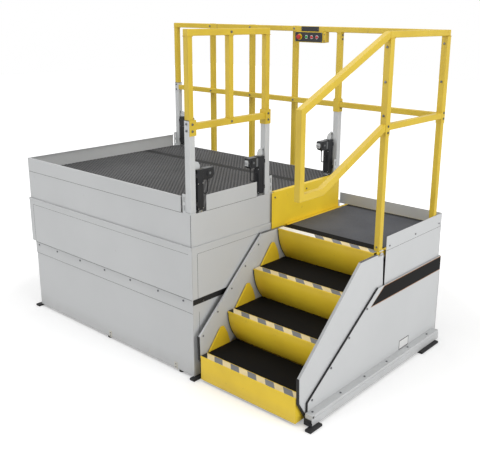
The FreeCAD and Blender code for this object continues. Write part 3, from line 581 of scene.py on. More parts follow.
clearSelection()
bpy.ops.mesh.primitive_plane_add(size=1, location=(0, 0, 0), scale=(1, 1, 1))
floor = nameLast("floor")
floor.scale = (40, 40, 1)
settle(floor)
floorMaterial, floorTree, floorShader, floorLink = newMaterial("floorWhite")
floorLight = addNode(floorTree, "LightPath")
floorNoise = addNode(floorTree, "TexNoise")
floorNoise.inputs["Scale"].default_value = 1.5
floorLink(mixColour(floorTree, floorNoise.outputs[0], (0.80, 0.80, 0.80), (0.82, 0.82, 0.82)),
                    floorShader.inputs["Base Color"])
floorShader.inputs["Roughness"].default_value = 0.7
floorShader.inputs["Emission Color"].default_value = (1, 1, 1, 1)
floorSpot = addNode(floorTree, "TexCoord")
floorAway = addNode(floorTree, "VectorMath", operation="LENGTH")  # the far floor fades into pure white
floorLink(floorSpot.outputs["Object"], floorAway.inputs[0])
floorFade = mathNode(floorTree, "MULTIPLY", mathNode(floorTree, "SUBTRACT", floorAway.outputs["Value"], 1.9,
    clamp=True), 0.5)
floorLink(mathNode(floorTree, "MULTIPLY", floorLight.outputs["Is Camera Ray"], mathNode(floorTree, "ADD", floorFade,
    0.30)),
                    floorShader.inputs["Emission Strength"])
floor.data.materials.append(floorMaterial)
print("stage ready")


# CAD nodes that keep their shape
kept = {
    "base_frame": framePaint, "stair_base_frame": framePaint, "deck_frame": framePaint, "deck_columns": bareSteel,
    "landing_columns": bareSteel, "actuator_rods": bareSteel, "pivot_shafts": bareSteel, "mid_slide_pads": nylonWhite,
}
for node, material in kept.items():
    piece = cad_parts[node]
    for socket in piece.material_slots:
        socket.material = material

# sheet metal and tubes, with their edges rounded
rounded = {
    "base_panels": {"radius": 0.8, "longer": 20, "finish": greyPaint, "body": "base", "slot": "grey"},
    "base_front_band": {"radius": 0.8, "longer": 20, "finish": greyPaint, "body": "base", "slot": "grey"},
    "base_side_strip": {"radius": 0.8, "longer": 20, "finish": trimRubber, "body": "base", "slot": "frame_dark"},
    "foot_plates": {"radius": 2.5, "longer": 5, "finish": trimRubber, "body": "base", "slot": "black_rubber"},
    "stair_side_panel": {"radius": 0.8, "longer": 20, "finish": greyPaint, "body": "base", "slot": "grey"},
    "stair_side_rail": {"radius": 1.6, "longer": 5, "finish": greyPaint, "body": "base", "slot": "grey"},
    "stair_rear_panel": {"radius": 0.8, "longer": 20, "finish": greyPaint, "body": "base", "slot": "grey"},
    "stair_edge_seal": {"radius": 1.8, "longer": 20, "finish": trimRubber, "body": "base", "slot": "black_rubber"},
    "mid_skirts": {"radius": 0.7, "longer": 20, "finish": greyPaint, "body": "mid_skirt", "slot": "grey"},
    "upper_skirts": {"radius": 0.8, "longer": 20, "finish": greyPaint, "body": "deck", "slot": "grey"},
    "toe_boards": {"radius": 0.9, "longer": 20, "finish": greyPaint, "body": "deck", "slot": "grey"},
    "entry_riser_panel": {"radius": 0.9, "longer": 20, "finish": stepPaint, "body": "deck", "slot": "yellow"},
    "post_guides": {"radius": 0.8, "longer": 15, "finish": postPaint, "body": "deck", "slot": "grey"},
    "guard_posts": {"radius": 4.0, "longer": 60, "finish": postPaint, "body": "guard", "slot": "grey"},
    "rear_guard_frame": {"radius": 4.0, "longer": 45, "finish": yellowPaint, "body": "guard", "slot": "yellow"},
    "rear_mid_rails": {"radius": 3.0, "longer": 60, "finish": yellowPaint, "body": "guard", "slot": "yellow"},
    "rear_balusters": {"radius": 4.0, "longer": 60, "finish": yellowPaint, "body": "guard", "slot": "yellow"},
    "front_guard_frame": {"radius": 4.0, "longer": 45, "finish": yellowPaint, "body": "guard", "slot": "yellow"},
    "front_mid_rail": {"radius": 1.0, "longer": 10, "finish": yellowPaint, "body": "guard", "slot": "yellow"},
    "landing_guard_frame": {"radius": 4.0, "longer": 45, "finish": yellowPaint, "body": "guard", "slot": "yellow"},
    "landing_mid_rail": {"radius": 4.0, "longer": 45, "finish": yellowPaint, "body": "guard", "slot": "yellow"},
    "stair_handrail": {"radius": 4.0, "longer": 10, "finish": yellowPaint, "body": "guard", "slot": "yellow"},
    "landing_posts": {"radius": 3.0, "longer": 45, "finish": yellowPaint, "body": "landing", "slot": "yellow"},
    "landing_frame": {"radius": 0.8, "longer": 20, "finish": stepPaint, "body": "landing", "slot": "yellow"},
    "landing_riser": {"radius": 0.6, "longer": 100, "finish": stepPaint, "body": "landing", "slot": "yellow"},
    "landing_side_panel": {"radius": 0.8, "longer": 20, "finish": greyPaint, "body": "landing", "slot": "grey"},
    "landing_rear_panel": {"radius": 0.8, "longer": 20, "finish": greyPaint, "body": "landing", "slot": "grey"},
    "landing_toe_boards": {"radius": 0.8, "longer": 20, "finish": greyPaint, "body": "landing", "slot": "grey"},
    "wing_left": {"radius": 2.5, "longer": 12, "finish": greyPaint, "body": "wings", "slot": "grey"},
    "wing_right": {"radius": 2.5, "longer": 12, "finish": greyPaint, "body": "wings", "slot": "grey"},
    "wing_edge_trims": {"radius": 2.5, "longer": 10, "finish": trimRubber, "body": "wings", "slot": "black_rubber"},
}
for index in range(1, 4):
    step = f"step_{index}"
    rounded[step] = {"radius": 0.7, "longer": 20, "finish": stepPaint, "body": step, "slot": "yellow"}
    rounded[step + "_mat"] = {"radius": 0.8, "longer": 5, "finish": stepGrit, "body": step, "slot": "black_rubber"}
for node, setup in rounded.items():
    piece = dressNode(node, setup["radius"], setup["longer"])
    finishPiece(piece, setup["finish"], setup["body"], [node])
print("sheet metal and tubes ready")


# rubber mats of the deck, with rows of staggered oval holes, on a closed tray
deckMat = {"pitchX": 30.0, "pitchY": 17.0, "holeX": 20.0, "holeY": 12.0, "inset": 1.6, "thick": 8.0,
           "left": 3.3, "right": 1758.7, "level": 1089.0, "tray": 30.0, "spans": ((3.3, 1089.7), (1160.3, 1524.7))}
seamBar = {"front": 1090.2, "rear": 1159.8, "edge": 3.0, "grooves": 4, "grooveWidth": 3.0}


def addMatCell(name, x, y):  # one tile of mat round one hole
    stepX, stepY = deckMat["pitchX"], deckMat["pitchY"]
    middle = place(x + stepX / 2, y + stepY / 2, deckMat["level"])
    clearSelection()
    bpy.ops.mesh.primitive_plane_add(size=1, location=middle)
    cell = nameLast(name)
    cell.scale = (stepX * mm, stepY * mm, 1)
    settle(cell)
    bpy.ops.object.mode_set(mode="EDIT")
    bpy.ops.mesh.select_all(action="SELECT")
    bpy.ops.mesh.subdivide(number_cuts=1)
    pickFaces(cell, lambda face: True)
    bpy.ops.mesh.inset(thickness=deckMat["inset"] * mm, use_boundary=True)
    shape = bmesh.from_edit_mesh(cell.data)
    for vertex in shape.verts:
        away = vertex.co - middle
        if vertex.is_boundary or away.length < 0.0001:
            continue
        angle = math.atan2(away.y / stepY, away.x / stepX)
        vertex.co.x = middle.x + math.cos(angle) * deckMat["holeX"] / 2 * mm
        vertex.co.y = middle.y + math.sin(angle) * deckMat["holeY"] / 2 * mm
    bmesh.update_edit_mesh(cell.data)
    bpy.ops.mesh.extrude_region_move(TRANSFORM_OT_translate={"value": (0, 0, -deckMat["thick"] * mm)})
    bpy.ops.mesh.delete(type="FACE")
    leaveEdit()
    return cell


def addDeckMat(name, y0, y1):
    left, right = deckMat["left"], deckMat["right"]
    stepX, stepY = deckMat["pitchX"], deckMat["pitchY"]
    countX = math.ceil((right - left) / stepX) + 1
    countY = math.ceil((y1 - y0) / (2 * stepY))
    rows = []
    for row in range(2):
        cell = addMatCell(f"{name}_row_{row}", left - stepX / 2 * row, y0 + row * stepY)
        applyModifier(cell, "ARRAY", count=countX, use_relative_offset=False, use_constant_offset=True,
                      constant_offset_displace=(stepX * mm, 0, 0))
        applyModifier(cell, "ARRAY", count=countY, use_relative_offset=False, use_constant_offset=True,
                      constant_offset_displace=(0, 2 * stepY * mm, 0))
        rows.append(cell)
    mat = joined(rows, name)
    editAll(mat)
    bpy.ops.mesh.remove_doubles(threshold=0.0001)
    leaveEdit()
    level = deckMat["level"]
    for point, normal in (((left, y0, level), (-1, 0, 0)), ((right, y0, level), (1, 0, 0)), ((left, y1, level),
        (0, 1, 0))):
        cutOff(mat, place(*point), normal, fill=False)
    bpy.ops.object.mode_set(mode="EDIT")
    high = place(0, 0, level).z - 0.0001
    pickEdges(mat, lambda edge: edge.is_boundary and min(vertex.co.z for vertex in edge.verts) > high)
    bpy.ops.mesh.extrude_edges_move(TRANSFORM_OT_translate={"value": (0, 0, -deckMat["thick"] * mm)})
    leaveEdit()
    return mat


low = deckMat["level"] - deckMat["thick"]
bottom = deckMat["level"] - deckMat["tray"]
for number, (y0, y1) in enumerate(deckMat["spans"], 1):
    finishPiece(addDeckMat(f"deck_mat_{number}", y0, y1), deckRubber, "deck", ["deck_gratings"])
    tray = addBlock(f"deck_tray_{number}", deckMat["left"], deckMat["right"], y0, y1, bottom, low)
    finishPiece(tray, deckUnder, "deck", ["deck_gratings"])
bar = soften(addBlock("deck_seam_bar", deckMat["left"], deckMat["right"], seamBar["front"], seamBar["rear"],
                      bottom, deckMat["level"]), seamBar["edge"])
ribs = [bar]
ribPitch = (seamBar["rear"] - seamBar["front"]) / (seamBar["grooves"] + 1)
for number in range(seamBar["grooves"]):
    y = seamBar["front"] + ribPitch * (number + 1)
    ribs.append(soften(addBlock(f"deck_seam_rib_{number}", deckMat["left"] + 4, deckMat["right"] - 4,
        y - seamBar["grooveWidth"],
                                y + seamBar["grooveWidth"], deckMat["level"] - 1, deckMat["level"] + 0.8), 0.7))
finishPiece(joined(ribs, "deck_seam_bar"), trimRubber, "deck", ["deck_gratings"])
print("deck mats ready")

# striped tape on the four noses, and the two rubber strips of the landing
treads = {"left": 1809.0, "right": 2566.0, "nosing": 13.0, "run": 247.0, "level": 182.0, "rise": 222.0, "edge": 2.0}
tape = {"front": 4.6, "width": 50.0, "lift": 2.9, "thick": 1.6}
for index, body in enumerate(("step_1", "step_2", "step_3", "landing")):
    y = treads["nosing"] + index * treads["run"] + tape["front"]
    z = treads["level"] + index * treads["rise"] - tape["lift"]
    strip = addBlock(f"nose_tape_{index + 1}", treads["left"] + treads["edge"], treads["right"] - treads["edge"],
                     y, y + tape["width"], z, z + tape["thick"])
    finishPiece(soften(strip, 0.5, 1), noseTapes[index], body)
landingMat = {"dark": 885.0, "rear": 1545.0, "radius": 0.8}
for name, material, cuts in (
        ("landing_mat_front", stepGrit, (((0, landingMat["dark"], 0), (0, 1, 0)),)),
        ("landing_mat_main", landingGrit, (((0, landingMat["dark"] + 0.5, 0), (0, -1, 0)),
        ((0, landingMat["rear"], 0), (0, 1, 0)))),
        ("landing_mat_rear", trimRubber, (((0, landingMat["rear"] + 0.5, 0), (0, -1, 0)),))):
    piece = dressNode("landing_mat", landingMat["radius"], 5)
    piece.name = name
    piece.data.name = name
    for point, normal in cuts:
        cutOff(piece, place(*point), normal)
    finishPiece(piece, material, "landing", ["landing_mat"])

# dark flaps that carry each riser's arc on, just behind the tread in front, and a dark strip of painted shade down
# each riser's left edge
flap = {"radius": 327.1, "setback": 3.0, "mat": 3.0, "first": 43.2, "last": 50.0, "thick": 2.4}
for index, body in enumerate(("step_2", "step_3", "landing"), 1):
    y = treads["nosing"] + index * treads["run"] + flap["radius"] + flap["setback"]
    z = treads["level"] + index * treads["rise"] - flap["mat"]
    angles = [math.radians(flap["first"] + (flap["last"] - flap["first"]) * part / 5) for part in range(6)]
    outline = [(y - radius * math.cos(angle), z - radius * math.sin(angle))
               for radius, turns in ((flap["radius"] - 0.5, angles),
               (flap["radius"] - 0.5 - flap["thick"], angles[::-1]))
               for angle in turns]
    piece = addPlate(f"riser_flap_{index}", outline, treads["left"] + 1, treads["right"] - 1)
    # a dark strip down the left edge of each riser's arc: painted shade that widens the dark gap beside the wing
    angles = [math.radians(2 + 41.5 * part / 14) for part in range(15)]
    outline = [(y - radius * math.cos(angle), z - radius * math.sin(angle))
               for radius, turns in ((flap["radius"] + 0.5, angles),
               (flap["radius"] - 1, angles[::-1])) for angle in turns]
    edge = addPlate(f"riser_edge_shade_{index}", outline, treads["left"] - 1.6, treads["left"] + 3.4)
    finishPiece(joined([piece, edge], f"riser_flap_{index}"), trimRubber, body)

# folded front edges of the yellow cheeks beside the mats, and the closed foot of the first step
cheek = {"front": 70.0, "back": 168.0, "low": 6.0, "high": 126.0, "fold": 2.4, "reach": 12.0}
for index, body in enumerate(("step_1", "step_2", "step_3")):
    y, z = treads["nosing"] + index * treads["run"], treads["level"] + index * treads["rise"] - flap["mat"]
    outline = ((y + cheek["front"], z + cheek["low"]), (y + cheek["back"], z + cheek["high"]),
               (y + cheek["back"] + cheek["fold"], z + cheek["high"] - 2), (y + cheek["front"] + cheek["fold"],
               z + cheek["low"] - 2))
    folds = [addPlate(f"cheek_fold_{index}", outline, treads["left"] + 0.4, treads["left"] + cheek["reach"]),
             addPlate(f"cheek_fold_{index}", outline, treads["right"] - cheek["reach"], treads["right"] - 0.4)]
    if index == 0:
        foot = ((17.5, 17), (104, 17), (104, 120), (17.5, 120))
        folds += [addPlate("step_foot", foot, treads["right"] - 3, treads["right"] - 0.2),
                  addPlate("step_foot", foot, treads["left"] + 0.2, treads["left"] + 3)]
    finishPiece(joined(folds, f"cheek_folds_{index + 1}"), stepPaint, body)
print("tapes and landing mat ready")

# caps on the open ends of the guard's tubes: each runs along one axis and stands a little proud of its mouth
tubeCap = {"wall": 1.2, "thick": 3.0, "proud": 0.9}
tubeEnds = (("y", 1720.45, 3.55, 2118.0, 1), ("y", 1720.45, 710.75, 2118.0, -1), ("x", 3.55, 1486.45, 2118.0, 1),
            ("x", 2580.0, 1486.45, 2118.0, -1), ("z", 1276.45, 1539.0, 2156.0, -1), ("z", 832.45, 1539.0, 2156.0, -1),
            ("z", 388.45, 1539.0, 2156.0, -1))
caps = []
for number, (axis, x, y, z, way) in enumerate(tubeEnds):
    w = tubeCap["wall"]
    spans = {"x": [x, x], "y": [y, y], "z": [z, z]}
    for other, start in (("x", x), ("y", y), ("z", z)):
        spans[other] = [start + w, start + 38 - w] if other != axis else sorted((start - tubeCap["proud"] * way,
            start + tubeCap["thick"] * way))
    caps.append(soften(addBlock(f"tube_cap_{number}", *spans["x"], *spans["y"], *spans["z"]), 0.6, 1))
finishPiece(joined(caps, "tube_caps"), yellowPaint, "guard")

# weld beads where the guard's uprights meet its rails: lower corner of the upright, its width and the bead's level
weld = {"bead": 2.6, "height": 3.4, "unevenness": 0.0005}
weldPlaces = ((1720.45, 3.55, 38, 2116.6), (1720.45, 672.75, 38, 2116.6), (1720.45, 338.15, 38, 2116.6),
              (1720.45, 338.15, 38, 1629.4), (1720.45, 1486.45, 38, 2116.6), (3.55, 1486.45, 38, 2116.6),
              (2538.75, 791.75, 44.5, 2116.6), (2538.75, 1483.2, 44.5, 2116.6))
beads = []
for number, (x, y, width, z) in enumerate(weldPlaces):
    grow = weld["bead"]
    bead = addBlock(f"weld_{number}", x - grow, x + width + grow, y - grow, y + width + grow,
                    z - weld["height"] / 2, z + weld["height"] / 2)
    soften(bead, 1.5)
    bpy.ops.object.mode_set(mode="EDIT")
    bpy.ops.mesh.select_all(action="SELECT")
    bpy.ops.mesh.subdivide(number_cuts=5)
    bpy.ops.transform.vertex_random(offset=weld["unevenness"], seed=number)
    leaveEdit()
    beads.append(bead)
finishPiece(joined(beads, "weld_beads"), yellowPaint, "guard", smooth=60)
rings = [addBlock(f"post_ring_{number}", x - 0.4, x + 44.9, y - 0.4, y + 44.9, 1645.6, 1648.8)
         for number, (x, y) in enumerate(((1717.2, 0.3), (1717.2, 669.5), (1717.2, 1483.2), (0.3, 1483.2)))]
finishPiece(soften(joined(rings, "post_rings"), 0.6), framePaint, "guard")
print("caps and welds ready")

# button-head bolts: (x, y, z, side) by body
facing = {"+x": (1, 0, 0), "-x": (-1, 0, 0), "+y": (0, 1, 0), "-y": (0, -1, 0), "+z": (0, 0, 1)}
boltHead = {"diameter": 15.0, "height": 4.6, "socket": 7.0, "depth": 2.4}
boltTemplate = soften(addRound("bolt_template", "z", 0, 0, 0, boltHead["height"], boltHead["diameter"], 18), 1.6, 2)
bpy.ops.object.mode_set(mode="EDIT")
pickFaces(boltTemplate, lambda face: face.normal.z > 0.99)
bpy.ops.mesh.inset(thickness=(boltHead["diameter"] / 2 - 1.6 - boltHead["socket"] / 2) * mm)
bpy.ops.mesh.extrude_region_move(TRANSFORM_OT_translate={"value": (0, 0, -boltHead["depth"] * mm)})
leaveEdit()
boltTemplate.data.transform(Matrix.Translation(-place(0, 0, 0)))


def addBolts(name, heads, body, size=1.0, material=boltSteel):
    copies = []
    for x, y, z, side in heads:
        head = bpy.data.objects.new(name, boltTemplate.data.copy())
        bpy.context.scene.collection.objects.link(head)
        turn = Vector(facing[side]).to_track_quat("Z", "Y").to_matrix().to_4x4()
        head.matrix_world = Matrix.Translation(place(x, y, z)) @ turn @ Matrix.Scale(size, 4)
        copies.append(head)
    return finishPiece(settle(joined(copies, name)), material, body)


guardBolts = [(1764.7, 22.5, z, "+x") for z in (1585, 1625)] + [(1739.5, 0.3, z, "-y") for z in (1588, 1628)]
guardBolts += [(1764.7, y, z, "+x") for y in (691.75, 1505.5) for z in (1585, 1625)]
guardBolts += [(22.5, 1483.2, z, "-y") for z in (1590, 1632)]
guardBolts += [(x, 1486.45, z, "-y") for x in (445, 889, 1333) for z in (1609, 2137)]
guardBolts += [(1758.45, 357, z, "+x") for z in (1609, 2137)] + [(1758.45, 1505.5, z, "+x") for z in (2072, 2100)]
guardBolts += [(2561, 791.75, z, "-y") for z in (1678, 1872, 2068)] + [(2583.25, 812, z, "+x") for z in (1578, 1616)]
guardBolts += [(2561, 1483.2, z, "-y") for z in (1600, 1830, 2070)] + [(2583.25, 1505.5, z, "+x") for z in (1590,
    1628)]
addBolts("guard_bolts", guardBolts, "guard")
landingBolts = [(2561, 795, 872, "-y"), (2561, 1486.45, 872, "-y")]
landingBolts += [(2588, y, z, "+x") for y in (905, 1230, 1555) for z in (862,)]
addBolts("landing_bolts", landingBolts, "landing", 0.8)
baseBolts = [(x, 8, 515, "-y") for x in (55, 295, 582, 869, 1149, 1431, 1670)]
baseBolts += [(2599, y, z, "+x") for y, z in ((124, 135), (301, 265), (477, 392), (661, 518))]
baseBolts += [(2622, y, 78, "+z") for y in (101, 378, 638, 898, 1169, 1436)]
baseBolts += [(1754, y, 511, "+x") for y in (98, 380, 640)]
addBolts("base_bolts", baseBolts, "base", 0.9)
addBolts("wing_bolts", [(1802, y, z, "+x") for y, z in ((563, 776), (435, 660), (306, 542), (177, 423), (46, 303))]
         , "wings", 0.75)
addBolts("deck_bolts", [(1780, y, 1056, "+x") for y in (754, 1100, 1450)], "deck", 0.8)
print("bolts ready")

# trims of the wings: raised tops with cap strips, a dark strip down the left slope, a darker grey strip of painted
# shade on the right slope's top face, and a plain cover on the right wing
wings = {"left": 1785.0, "right": 2571.0, "thick": 17.0, "front": 17.0, "frontTop": 305.0, "shoulder": 571.0,
    "top": 818.0,
         "slope": 0.926, "cap": 2.5}
crowns, capStrips = [], []
for label, x, rise, rear in (("left", wings["left"], 23.0, 837.0), ("right", wings["right"], 14.0, 776.0)):
    lift = wings["shoulder"] + rise / wings["slope"]
    outline = ((wings["shoulder"] - 1, wings["top"] - 3), (lift, wings["top"] + rise), (rear, wings["top"] + rise),
        (rear, wings["top"] - 3))
    crowns.append(addPlate(f"wing_crown_{label}", outline, x, x + wings["thick"]))
    flat = addBlock(f"wing_cap_{label}", x + 0.5, x + wings["thick"] - 0.5, lift + 1, rear, wings["top"] + rise - 1,
                    wings["top"] + rise + wings["cap"])
    capStrips.append(soften(flat, 1.0))
cover = ((19.5, 303.5), (572, 815.4), (836.3, 815.4), (846.4, 629.7), (846.4, 561), (98, 38), (24.5, 151))
crowns.append(soften(addPlate("wing_cover", cover, wings["right"] + wings["thick"] - 0.2,
    wings["right"] + wings["thick"] + 0.6), 0.4, 1))
finishPiece(joined(crowns, "wing_crowns"), greyPaint, "wings")
finishPiece(joined(capStrips, "wing_caps"), capGrey, "wings")
lift = wings["shoulder"] + 23 / wings["slope"]
slope = addPlate("wing_strip_left", (
    (wings["front"] + 2, wings["frontTop"] - 6), (wings["front"], wings["frontTop"] + 2.4),
    (lift - 1, wings["top"] + 25.4), (lift + 6, wings["top"] + 23)), wings["left"] - 0.2, wings["left"] + 3)
finishPiece(soften(slope, 0.8), trimRubber, "wings")
# the right slope's top face in a darker grey: painted shade
lift = wings["shoulder"] + 14 / wings["slope"]
slope = addPlate("wing_slope_shade_right", (
    (wings["front"] + 2, wings["frontTop"] - 1), (wings["front"] + 1, wings["frontTop"] + 1.4),
    (lift, wings["top"] + 15), (lift + 3, wings["top"] + 13.6)), wings["right"] + 0.4,
    wings["right"] + wings["thick"] - 0.6)
finishPiece(slope, shadedGreyPaint, "wings")

# black band with a copper border on the stair's side, bare of any text
band = {"face": 2599.0, "front": 701.0, "lean": 150.0, "rear": 1603.0, "low": 513.0, "high": 614.0, "border": 4.5}
for name, material, inset, lift in (("side_band_border", copperLine, 0.0, 0.5), ("side_band", bandBlack,
    band["border"], 1.0)):
    outline = ((band["front"] + 1.6 * inset, band["low"] + inset), (band["front"] + band["lean"] + 0.4 * inset,
        band["high"] - inset),
               (band["rear"], band["high"] - inset), (band["rear"], band["low"] + inset))
    finishPiece(addPlate(name, outline, band["face"], band["face"] + lift), material, "base")
label = soften(addBlock("label_border", 2599.0, 2599.5, 1088, 1212, 80, 146), 0.2, 1)
finishPiece(label, bandBlack, "base")
label = soften(addBlock("blank_label", 2599.2, 2599.9, 1093, 1207, 85, 141), 0.2, 1)
finishPiece(label, labelWhite, "base")

# seams, shown as thin dark lines that stand a hair proud
seams = {
    "deck_seams": ("deck", ((0.5, 1673.5, -0.35, 0.5, 1087.9, 1090.1), (1761.5, 1762.35, 130, 590, 1087.9, 1090.1),
                            (-0.35, 0.5, 20, 1440, 1087.9, 1090.1), (1755.5, 1759, -0.4, 0.5, 880, 1086))),
    "skirt_seams": ("mid_skirt", ((38, 40, -8.35, -7.5, 548, 838), (-8.35, -7.5, 38, 40, 548, 838),
                                  (1769.5, 1770.35, 38, 40, 548, 838), (38, 1740, -8.35, -7.5, 837, 838.5),
                                  (1769.5, 1770.35, 38, 700, 837, 838.5))),
    "base_seams": ("base", ((1750.5, 1751.35, 64, 66, 30, 446), (2598.6, 2599.3, 1598, 1599.6, 30, 500),
                            (12, 1750, 7.2, 8.5, 532.5, 534.5), (12, 1750, 10.4, 11.5, 444.5, 446.2))),
    "landing_seams": ("landing", ((2587.5, 2588.25, 870, 1592, 835, 836.8),)),
}
for name, (body, spans) in seams.items():
    lines = [addBlock(f"{name}_{number}", *span) for number, span in enumerate(spans)]
    finishPiece(joined(lines, name), framePaint, body)

# the side rail's front end, its lower lip, and the black bracket under it
railEnd = [addBlock("rail_end", 2599.2, 2649.5, 62, 66, 12, 78), addBlock("rail_end", 2599.2, 2649.5, 63, 90, 74, 78),
           addBlock("rail_end", 2646, 2649.5, 63, 1560, 12, 58)]
finishPiece(soften(joined(railEnd, "rail_end"), 1.0), greyPaint, "base")
bracket = [soften(addPlate("foot_bracket", ((58, 8), (61, 8), (61, 50), (58, 50)), 2594, 2646), 0.8),
           soften(addBlock("foot_bracket", 2636, 2652, 46, 62, 4, 34), 2.0),
           soften(addBlock("foot_bracket", 2594, 2640, 58, 84, 8, 12), 1.0)]
finishPiece(joined(bracket, "foot_bracket"), trimRubber, "base")
tab = [soften(addBlock("post_tab", 2580.4, 2590, 794, 834, 847.5, 851), 0.8),
    soften(addRound("post_tab", "z", 2585, 812, 850, 5, 8, 18), 1.0)]
finishPiece(joined(tab, "post_tab"), postPaint, "landing")

# small levelling plates at the foot of the front panel, and the round pads below
levelling = {"places": (880.0, 1568.0), "width": 30.0, "low": 14.0, "high": 60.0, "thick": 3.0, "pad": 34.0}
plates = [soften(addBlock(f"level_plate_{number}", x, x + levelling["width"], 11 - levelling["thick"], 11.2,
    levelling["low"], levelling["high"]), 1.2)
          for number, x in enumerate(levelling["places"])]
finishPiece(joined(plates, "level_plates"), nylonWhite, "base")
addBolts("level_bolts", [(x + levelling["width"] / 2, 11 - levelling["thick"], z,
    "-y") for x in levelling["places"] for z in (27, 47)], "base", 0.62)
pads = []
for number, x in enumerate((870.0, 1620.0)):
    pads.append(soften(addRound(f"level_pad_{number}", "z", x, 26, 0, 12, levelling["pad"], 28), 2.5))
    pads.append(addRound(f"level_stem_{number}", "z", x, 26, 10, 20, 12, 16))
finishPiece(joined(pads, "level_pads"), trimRubber, "base")
print("trims, band and seams ready")

# control box: yellow housing, black face, push buttons, stop button on its yellow ring, bare plate above
box = {"left": 1345.0, "right": 1600.0, "face": 1482.45, "depth": 52.0, "low": 2040.0, "high": 2118.0, "cap": 24.0}
housing = soften(addBlock("box_housing", box["left"], box["right"], box["face"], box["face"] + box["depth"],
    box["low"], box["high"]), 4.0, 3)
endCap = soften(addBlock("box_cap", box["right"] - 1, box["right"] + box["cap"], box["face"] + 3,
    box["face"] + box["depth"] - 3,
                         box["low"] + 3, box["high"]), 5.0, 3)
finishPiece(joined([housing, endCap], "box_housing"), yellowPaint, "guard", ["control_box"])
facePlate = soften(addBlock("box_face", box["left"] + 3, box["right"] - 3, box["face"] - 1.5, box["face"] + 2,
                            box["low"] + 5, box["high"] - 5), 1.2)
topPlate = soften(addBlock("rail_plate", 1402, 1562, 1484.6, 1487, 2120, 2154), 0.9)
finishPiece(joined([facePlate, topPlate], "box_face"), blackPlastic, "guard", ["control_box"])
addBolts("box_screws", [(x, box["face"] - 1.5, z, "-y") for x in (1354, 1591) for z in (2051, 2107)]
         + [(x, 1484.6, 2137, "-y") for x in (1409, 1555)] + [(1612, box["face"] + 3, z, "-y") for z in (2056,
         2100)], "guard", 0.5)
middle = (box["low"] + box["high"]) / 2
front = box["face"] - 1.5
ring = soften(addRound("stop_ring", "y", 1391, front - 4, middle, 4.5, 44, 40), 1.2)
finishPiece(ring, yellowPlastic, "guard", ["control_buttons"])
stem = addRound("stop_stem", "y", 1391, front - 12, middle, 9, 22, 28)
mushroom = soften(addRound("stop_head", "y", 1391, front - 22, middle, 11, 34, 40), 4.0, 4)
finishPiece(joined([mushroom, stem], "stop_head"), redPlastic, "guard", ["control_buttons"])
bezels = []
for number, (x, material) in enumerate(((1455, greenPlastic), (1503, redPlastic), (1551, redPlastic))):
    bezels.append(soften(addRound(f"button_bezel_{number}", "y", x, front - 4, middle, 4.5, 28, 32), 1.2))
    knob = soften(addRound(f"button_{number}", "y", x, front - 8.5, middle, 5, 20, 28), 1.4)
    finishPiece(knob, material, "guard", ["control_buttons"])
finishPiece(joined(bezels, "button_bezels"), bareSteel, "guard", ["control_buttons"])
print("control box ready")

# lifting actuators, each first built about its own axis with the motor towards +Y, then turned into its place
actuator = {"half": 25.0, "bottom": 1104.0, "top": 1350.0, "headLow": 1284.0, "headHalf": 22.0, "headEnd": 117.0,
            "gap": 12.0, "footLevel": 1089.0}
actuatorPlaces = (("front_right", 1739.45, 81.8, 0.0), ("front_left", 1739.45, 632.5, 180.0),
                  ("rear_right", 1707.45, 1446.2, 180.0), ("rear_left", 81.8, 1505.45, -90.0))
bodies = dressNode("actuators", 3.0, 15)
finishPiece(bodies, blackPlastic, "guard", ["actuators"])


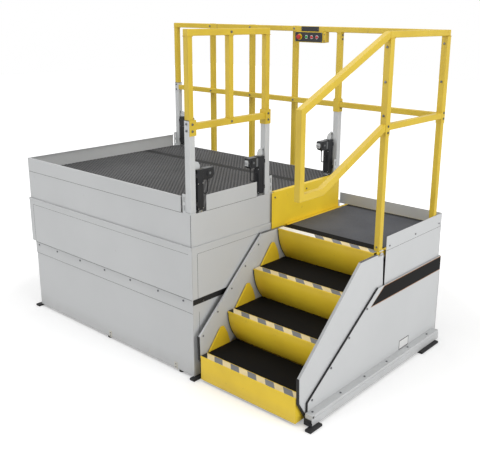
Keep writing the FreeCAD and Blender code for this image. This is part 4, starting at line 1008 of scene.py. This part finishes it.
def actuatorDetails(tag):  # lists of parts by finish, about the origin
    half, top, end = actuator["half"], actuator["top"], actuator["headEnd"]
    dark, grey, steel, foot, pale = [], [], [], [], []
    pale.append(addPlate(tag, ((-half - 12, top + 4), (16, top + 4), (16, top + 26), (4, top + 44), (-half - 12,
        top + 56)), -3, 2))
    pale.append(soften(addBlock(tag, -15, 13, end + 2.5, end + 6, 1302, 1338), 1.0))
    grey.append(soften(addBlock(tag, -actuator["headHalf"] - 1.6, -actuator["headHalf"] + 1, half + 8, half + 26,
        1290, 1344), 1.0))
    for side in (-1, 1):  # ribs down the profile and the round motor covers
        for across in (-12, 12):
            x0, x1 = sorted((side * (half - 0.5), side * (half + 1.6)))
            dark.append(soften(addBlock(tag, x0, x1, across - 3, across + 3, actuator["bottom"] + 16, top - 74), 0.9))
        x = side * actuator["headHalf"]
        dark.append(soften(addRound(tag, "x", min(x, x + 4 * side), 78, 1320, 4, 46, 32), 1.4))
        grey.append(soften(addRound(tag, "x", min(x, x + 5.5 * side), 78, 1320, 5.5, 16, 20), 1.0))
    dark.append(soften(addBlock(tag, -half - 1, half + 1, -half - 1, half + 1, top - 9, top + 2), 2.2))
    dark.append(soften(addRound(tag, "z", 0, 82, 1274, 12, 14, 20), 1.5))
    dark.append(soften(addRound(tag, "y", 0, half - 1, 1236, 5, 13, 20), 1.2))
    dark.append(soften(addBlock(tag, -15, 15, half - 4, half + 10, actuator["headLow"] - 8, top + 1), 3.0))
    grey.append(soften(addRound(tag, "y", 0, end - 1, 1320, 5, 42, 8), 1.4))
    grey.append(soften(addBlock(tag, -18, 18, half + 14, end - 8, top - 1, top + 1.6), 0.9))
    steel.append(soften(addBlock(tag, -9, 9, end + 3, end + 10, 1312, 1328), 1.2))
    steel.append(soften(addBlock(tag, -14, 14, -half - actuator["gap"], -half - actuator["gap"] + 4, top - 6,
        top + 46), 1.5))
    steel.append(soften(addRound(tag, "y", 0, -half - actuator["gap"], top + 44, 4, 28, 28), 1.0))
    steel.append(soften(addBlock(tag, -14, 14, -half - actuator["gap"] + 3, 6, top + 2, top + 6), 1.2))
    for x, z in ((-19, 1114), (19, 1114), (-19, 1268), (19, 1268)):
        steel.append(soften(addRound(tag, "y", x, half - 0.6, z, 2.4, 7, 12), 0.7))
        steel.append(soften(addRound(tag, "x", half - 0.6, x, z, 2.4, 7, 12), 0.7))
    base = actuator["footLevel"]
    for side in (-1, 1):
        x0, x1 = sorted((side * 17, side * 21))
        foot.append(soften(addBlock(tag, x0, x1, -15, 15, base, base + 12.5), 1.2))
    foot.append(soften(addBlock(tag, -21, 21, -19, 19, base, base + 2.5), 0.8))
    foot.append(soften(addRound(tag, "x", -25, 0, base + 7, 50, 8, 18), 1.0))
    return {"housing": (dark, blackPlastic, "guard", "black_plastic"), "grey": (grey, greyPlastic, "guard",
        "black_plastic"),
            "bracket": (steel, bareSteel, "guard", "steel"), "foot": (foot, bareSteel, "deck", "steel"),
            "gusset": (pale, postPaint, "guard", "grey")}


lead = {"diameter": 7.0, "length": 0.170, "nodes": ["actuator_leads"],
        "route": ((57, 1284), (57, 1262), (57, 1236), (57, 1207), (48, 1195), (36.5, 1192), (25, 1195), (16, 1207),
                  (16, 1226), (12, 1236), (5, 1236), (0, 1236))}
for tag, x, y, turn in actuatorPlaces:
    heading = Matrix.Rotation(math.radians(turn), 4, "Z")
    move = Matrix.Translation(place(x, y, 0)) @ heading @ Matrix.Translation(-place(0, 0, 0))
    for label, (parts, material, body, slot) in actuatorDetails(tag).items():
        piece = joined(parts, f"actuator_{tag}_{label}")
        piece.matrix_world = move
        finishPiece(settle(piece), material, body, ["actuators"] if body == "guard" else [])
    line = bpy.data.curves.new(f"lead_{tag}", "CURVE")
    line.dimensions = "3D"
    line.bevel_depth = lead["diameter"] / 2 * mm
    line.bevel_resolution = 4
    line.resolution_u = 16
    spline = line.splines.new("NURBS")
    spline.points.add(len(lead["route"]) - 1)
    for point, (along, z) in zip(spline.points, lead["route"]):
        point.co = (*(move @ place(0, actuator["half"] + along, z)), 1)
    spline.order_u = 3
    spline.use_endpoint_u = True
    cable = bpy.data.objects.new(f"lead_{tag}", line)
    bpy.context.scene.collection.objects.link(cable)
    line.materials.append(trimRubber)
    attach(cable, "guard")
    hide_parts("actuator_leads")
print("actuators ready")

bpy.data.objects.remove(boltTemplate)
